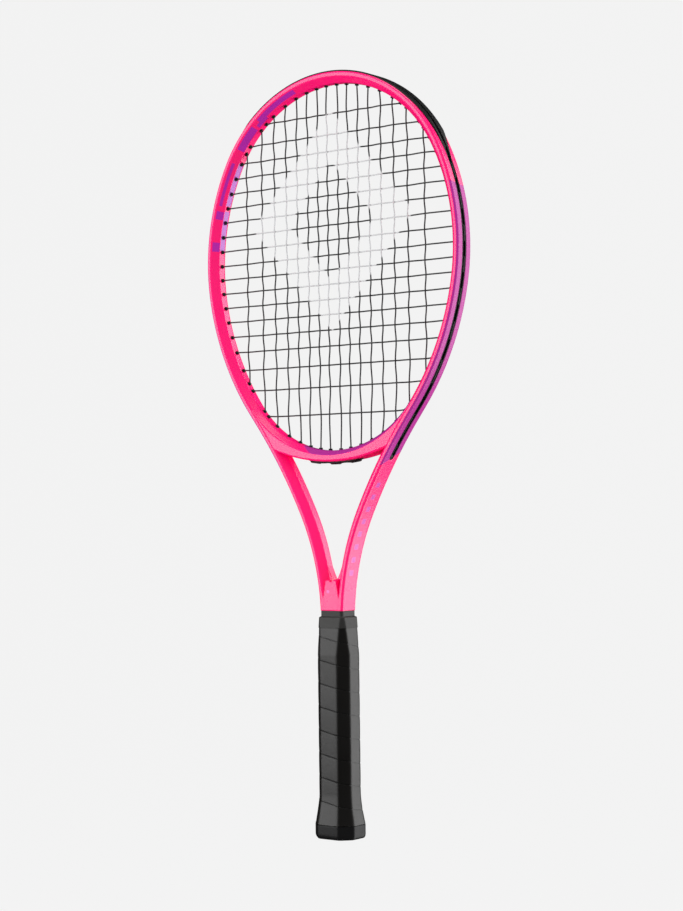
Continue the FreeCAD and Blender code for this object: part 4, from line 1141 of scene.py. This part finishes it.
# Rings along a closed profile of (half x, half y, bevel, height) corners, with rounded corners.
def profileLoop(corners, cuts, steps, flats):
    return roundedLoop(np.array(corners)[None], np.array(cuts)[None], steps, flats)[0]


cap = dict(rim=(21.8, 18.9, 10.1), skirtLow=(20.1, 17.2, 9.1), skirtHigh=(16.7, 14.1, 7.5),
           pocket=(16.35, 13.75, 7.3), door=(10.3, 7.8, 1.6), opening=(8.3, 5.8, 1.0),
           height=12.5, skirtTop=34.0, floor=4.0, recess=2.9,
           cuts=(4.5, 0.7, 0.1, 0.1, 0.1, 0.1, 0.2, 0.2, 0.1, 0.4))


# Rim, skirt, pocket and door recess as one loop of rings, turned into octagons.
def buttCap(settings):
    rim, door, opening = settings["rim"], settings["door"], settings["opening"]
    height, top, floor, recess = [settings[key] for key in ("height", "skirtTop", "floor", "recess")]
    corners = [(*rim, 0.0), (*rim, height), (*settings["skirtLow"], height + 0.1),
               (*settings["skirtHigh"], top), (*settings["pocket"], top), (*settings["pocket"], floor),
               (*opening, floor), (*opening, recess), (*door, recess), (*door, 0.0)]
    return ringStack("buttCap", profileLoop(corners, settings["cuts"], 8, 3), finishes["cap"])


collar = dict(bottom=188.0, step=198.0, top=203.5, skirt=(15.8, 13.4, 4.8), shoulder=(14.3, 12.1, 2.6),
              neck=(12.3, 10.5, 1.8), innerNeck=(11.4, 9.7, 1.4), innerLow=(15.3, 13.1, 4.6),
              innerTop=(14.15, 12.0, 3.1), pocketTop=196.6,
              cuts=(0.5, 0.6, 0.5, 0.5, 0.2, 0.2, 0.2, 0.2))


# Skirt, shoulder and neck outside and the two bores inside, as one loop of rings.
def gripCollar(settings):
    corners = [(*settings["skirt"], settings["bottom"]), (*settings["shoulder"], settings["step"] - 0.5),
               (*settings["neck"], settings["step"] + 0.4), (*settings["neck"], settings["top"]),
               (*settings["innerNeck"], settings["top"]), (*settings["innerNeck"], settings["pocketTop"]),
               (*settings["innerTop"], settings["pocketTop"]), (*settings["innerLow"], settings["bottom"])]
    return ringStack("gripCollar", profileLoop(corners, settings["cuts"], 6, 5), finishes["collar"])


pieceGrip = gripWrap(grip)
pieceCap = buttCap(cap)
pieceCollar = gripCollar(collar)
print("handle made:", len(pieceGrip.data.polygons), "faces on the grip")


for node, finish in dict(pallet_front="foam", pallet_back="foam", cap_staples="steel", grip_tack="steel",
                         trap_door="cap", finishing_tape="tape").items():
    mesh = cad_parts[node].data
    mesh.materials.clear()
    mesh.materials.append(finishes[finish])


placed = [(pieceFrame, "racket", "frame_paint", ["frame"]),
          (pieceBridge, "racket", "frame_paint", ["throat_bridge"]),
          (pieceGuard, "racket", "black_nylon", ["bumper_guard"]),
          (pieceStripRight, "racket", "black_nylon", ["grommet_strip_right"]),
          (pieceStripLeft, "racket", "black_nylon", ["grommet_strip_left"]),
          (pieceStripBridge, "racket", "black_nylon", ["bridge_grommet_strip"]),
          (pieceMains, "racket", "string", ["main_string"]),
          (pieceCrosses, "racket", "string", ["cross_string"]),
          (pieceGrip, "racket", "grip", ["grip_wrap"]),
          (pieceCap, "racket", "cap_plastic", ["butt_cap"]),
          (pieceCollar, "collar", "collar_rubber", ["grip_collar"])]
for piece, body, slot, nodes in placed:
    if piece is pieceCollar:
        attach(piece, "racket")
        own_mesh(piece)
    else:
        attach(piece, body)
    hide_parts(*nodes)
print("pieces placed:", len(placed))
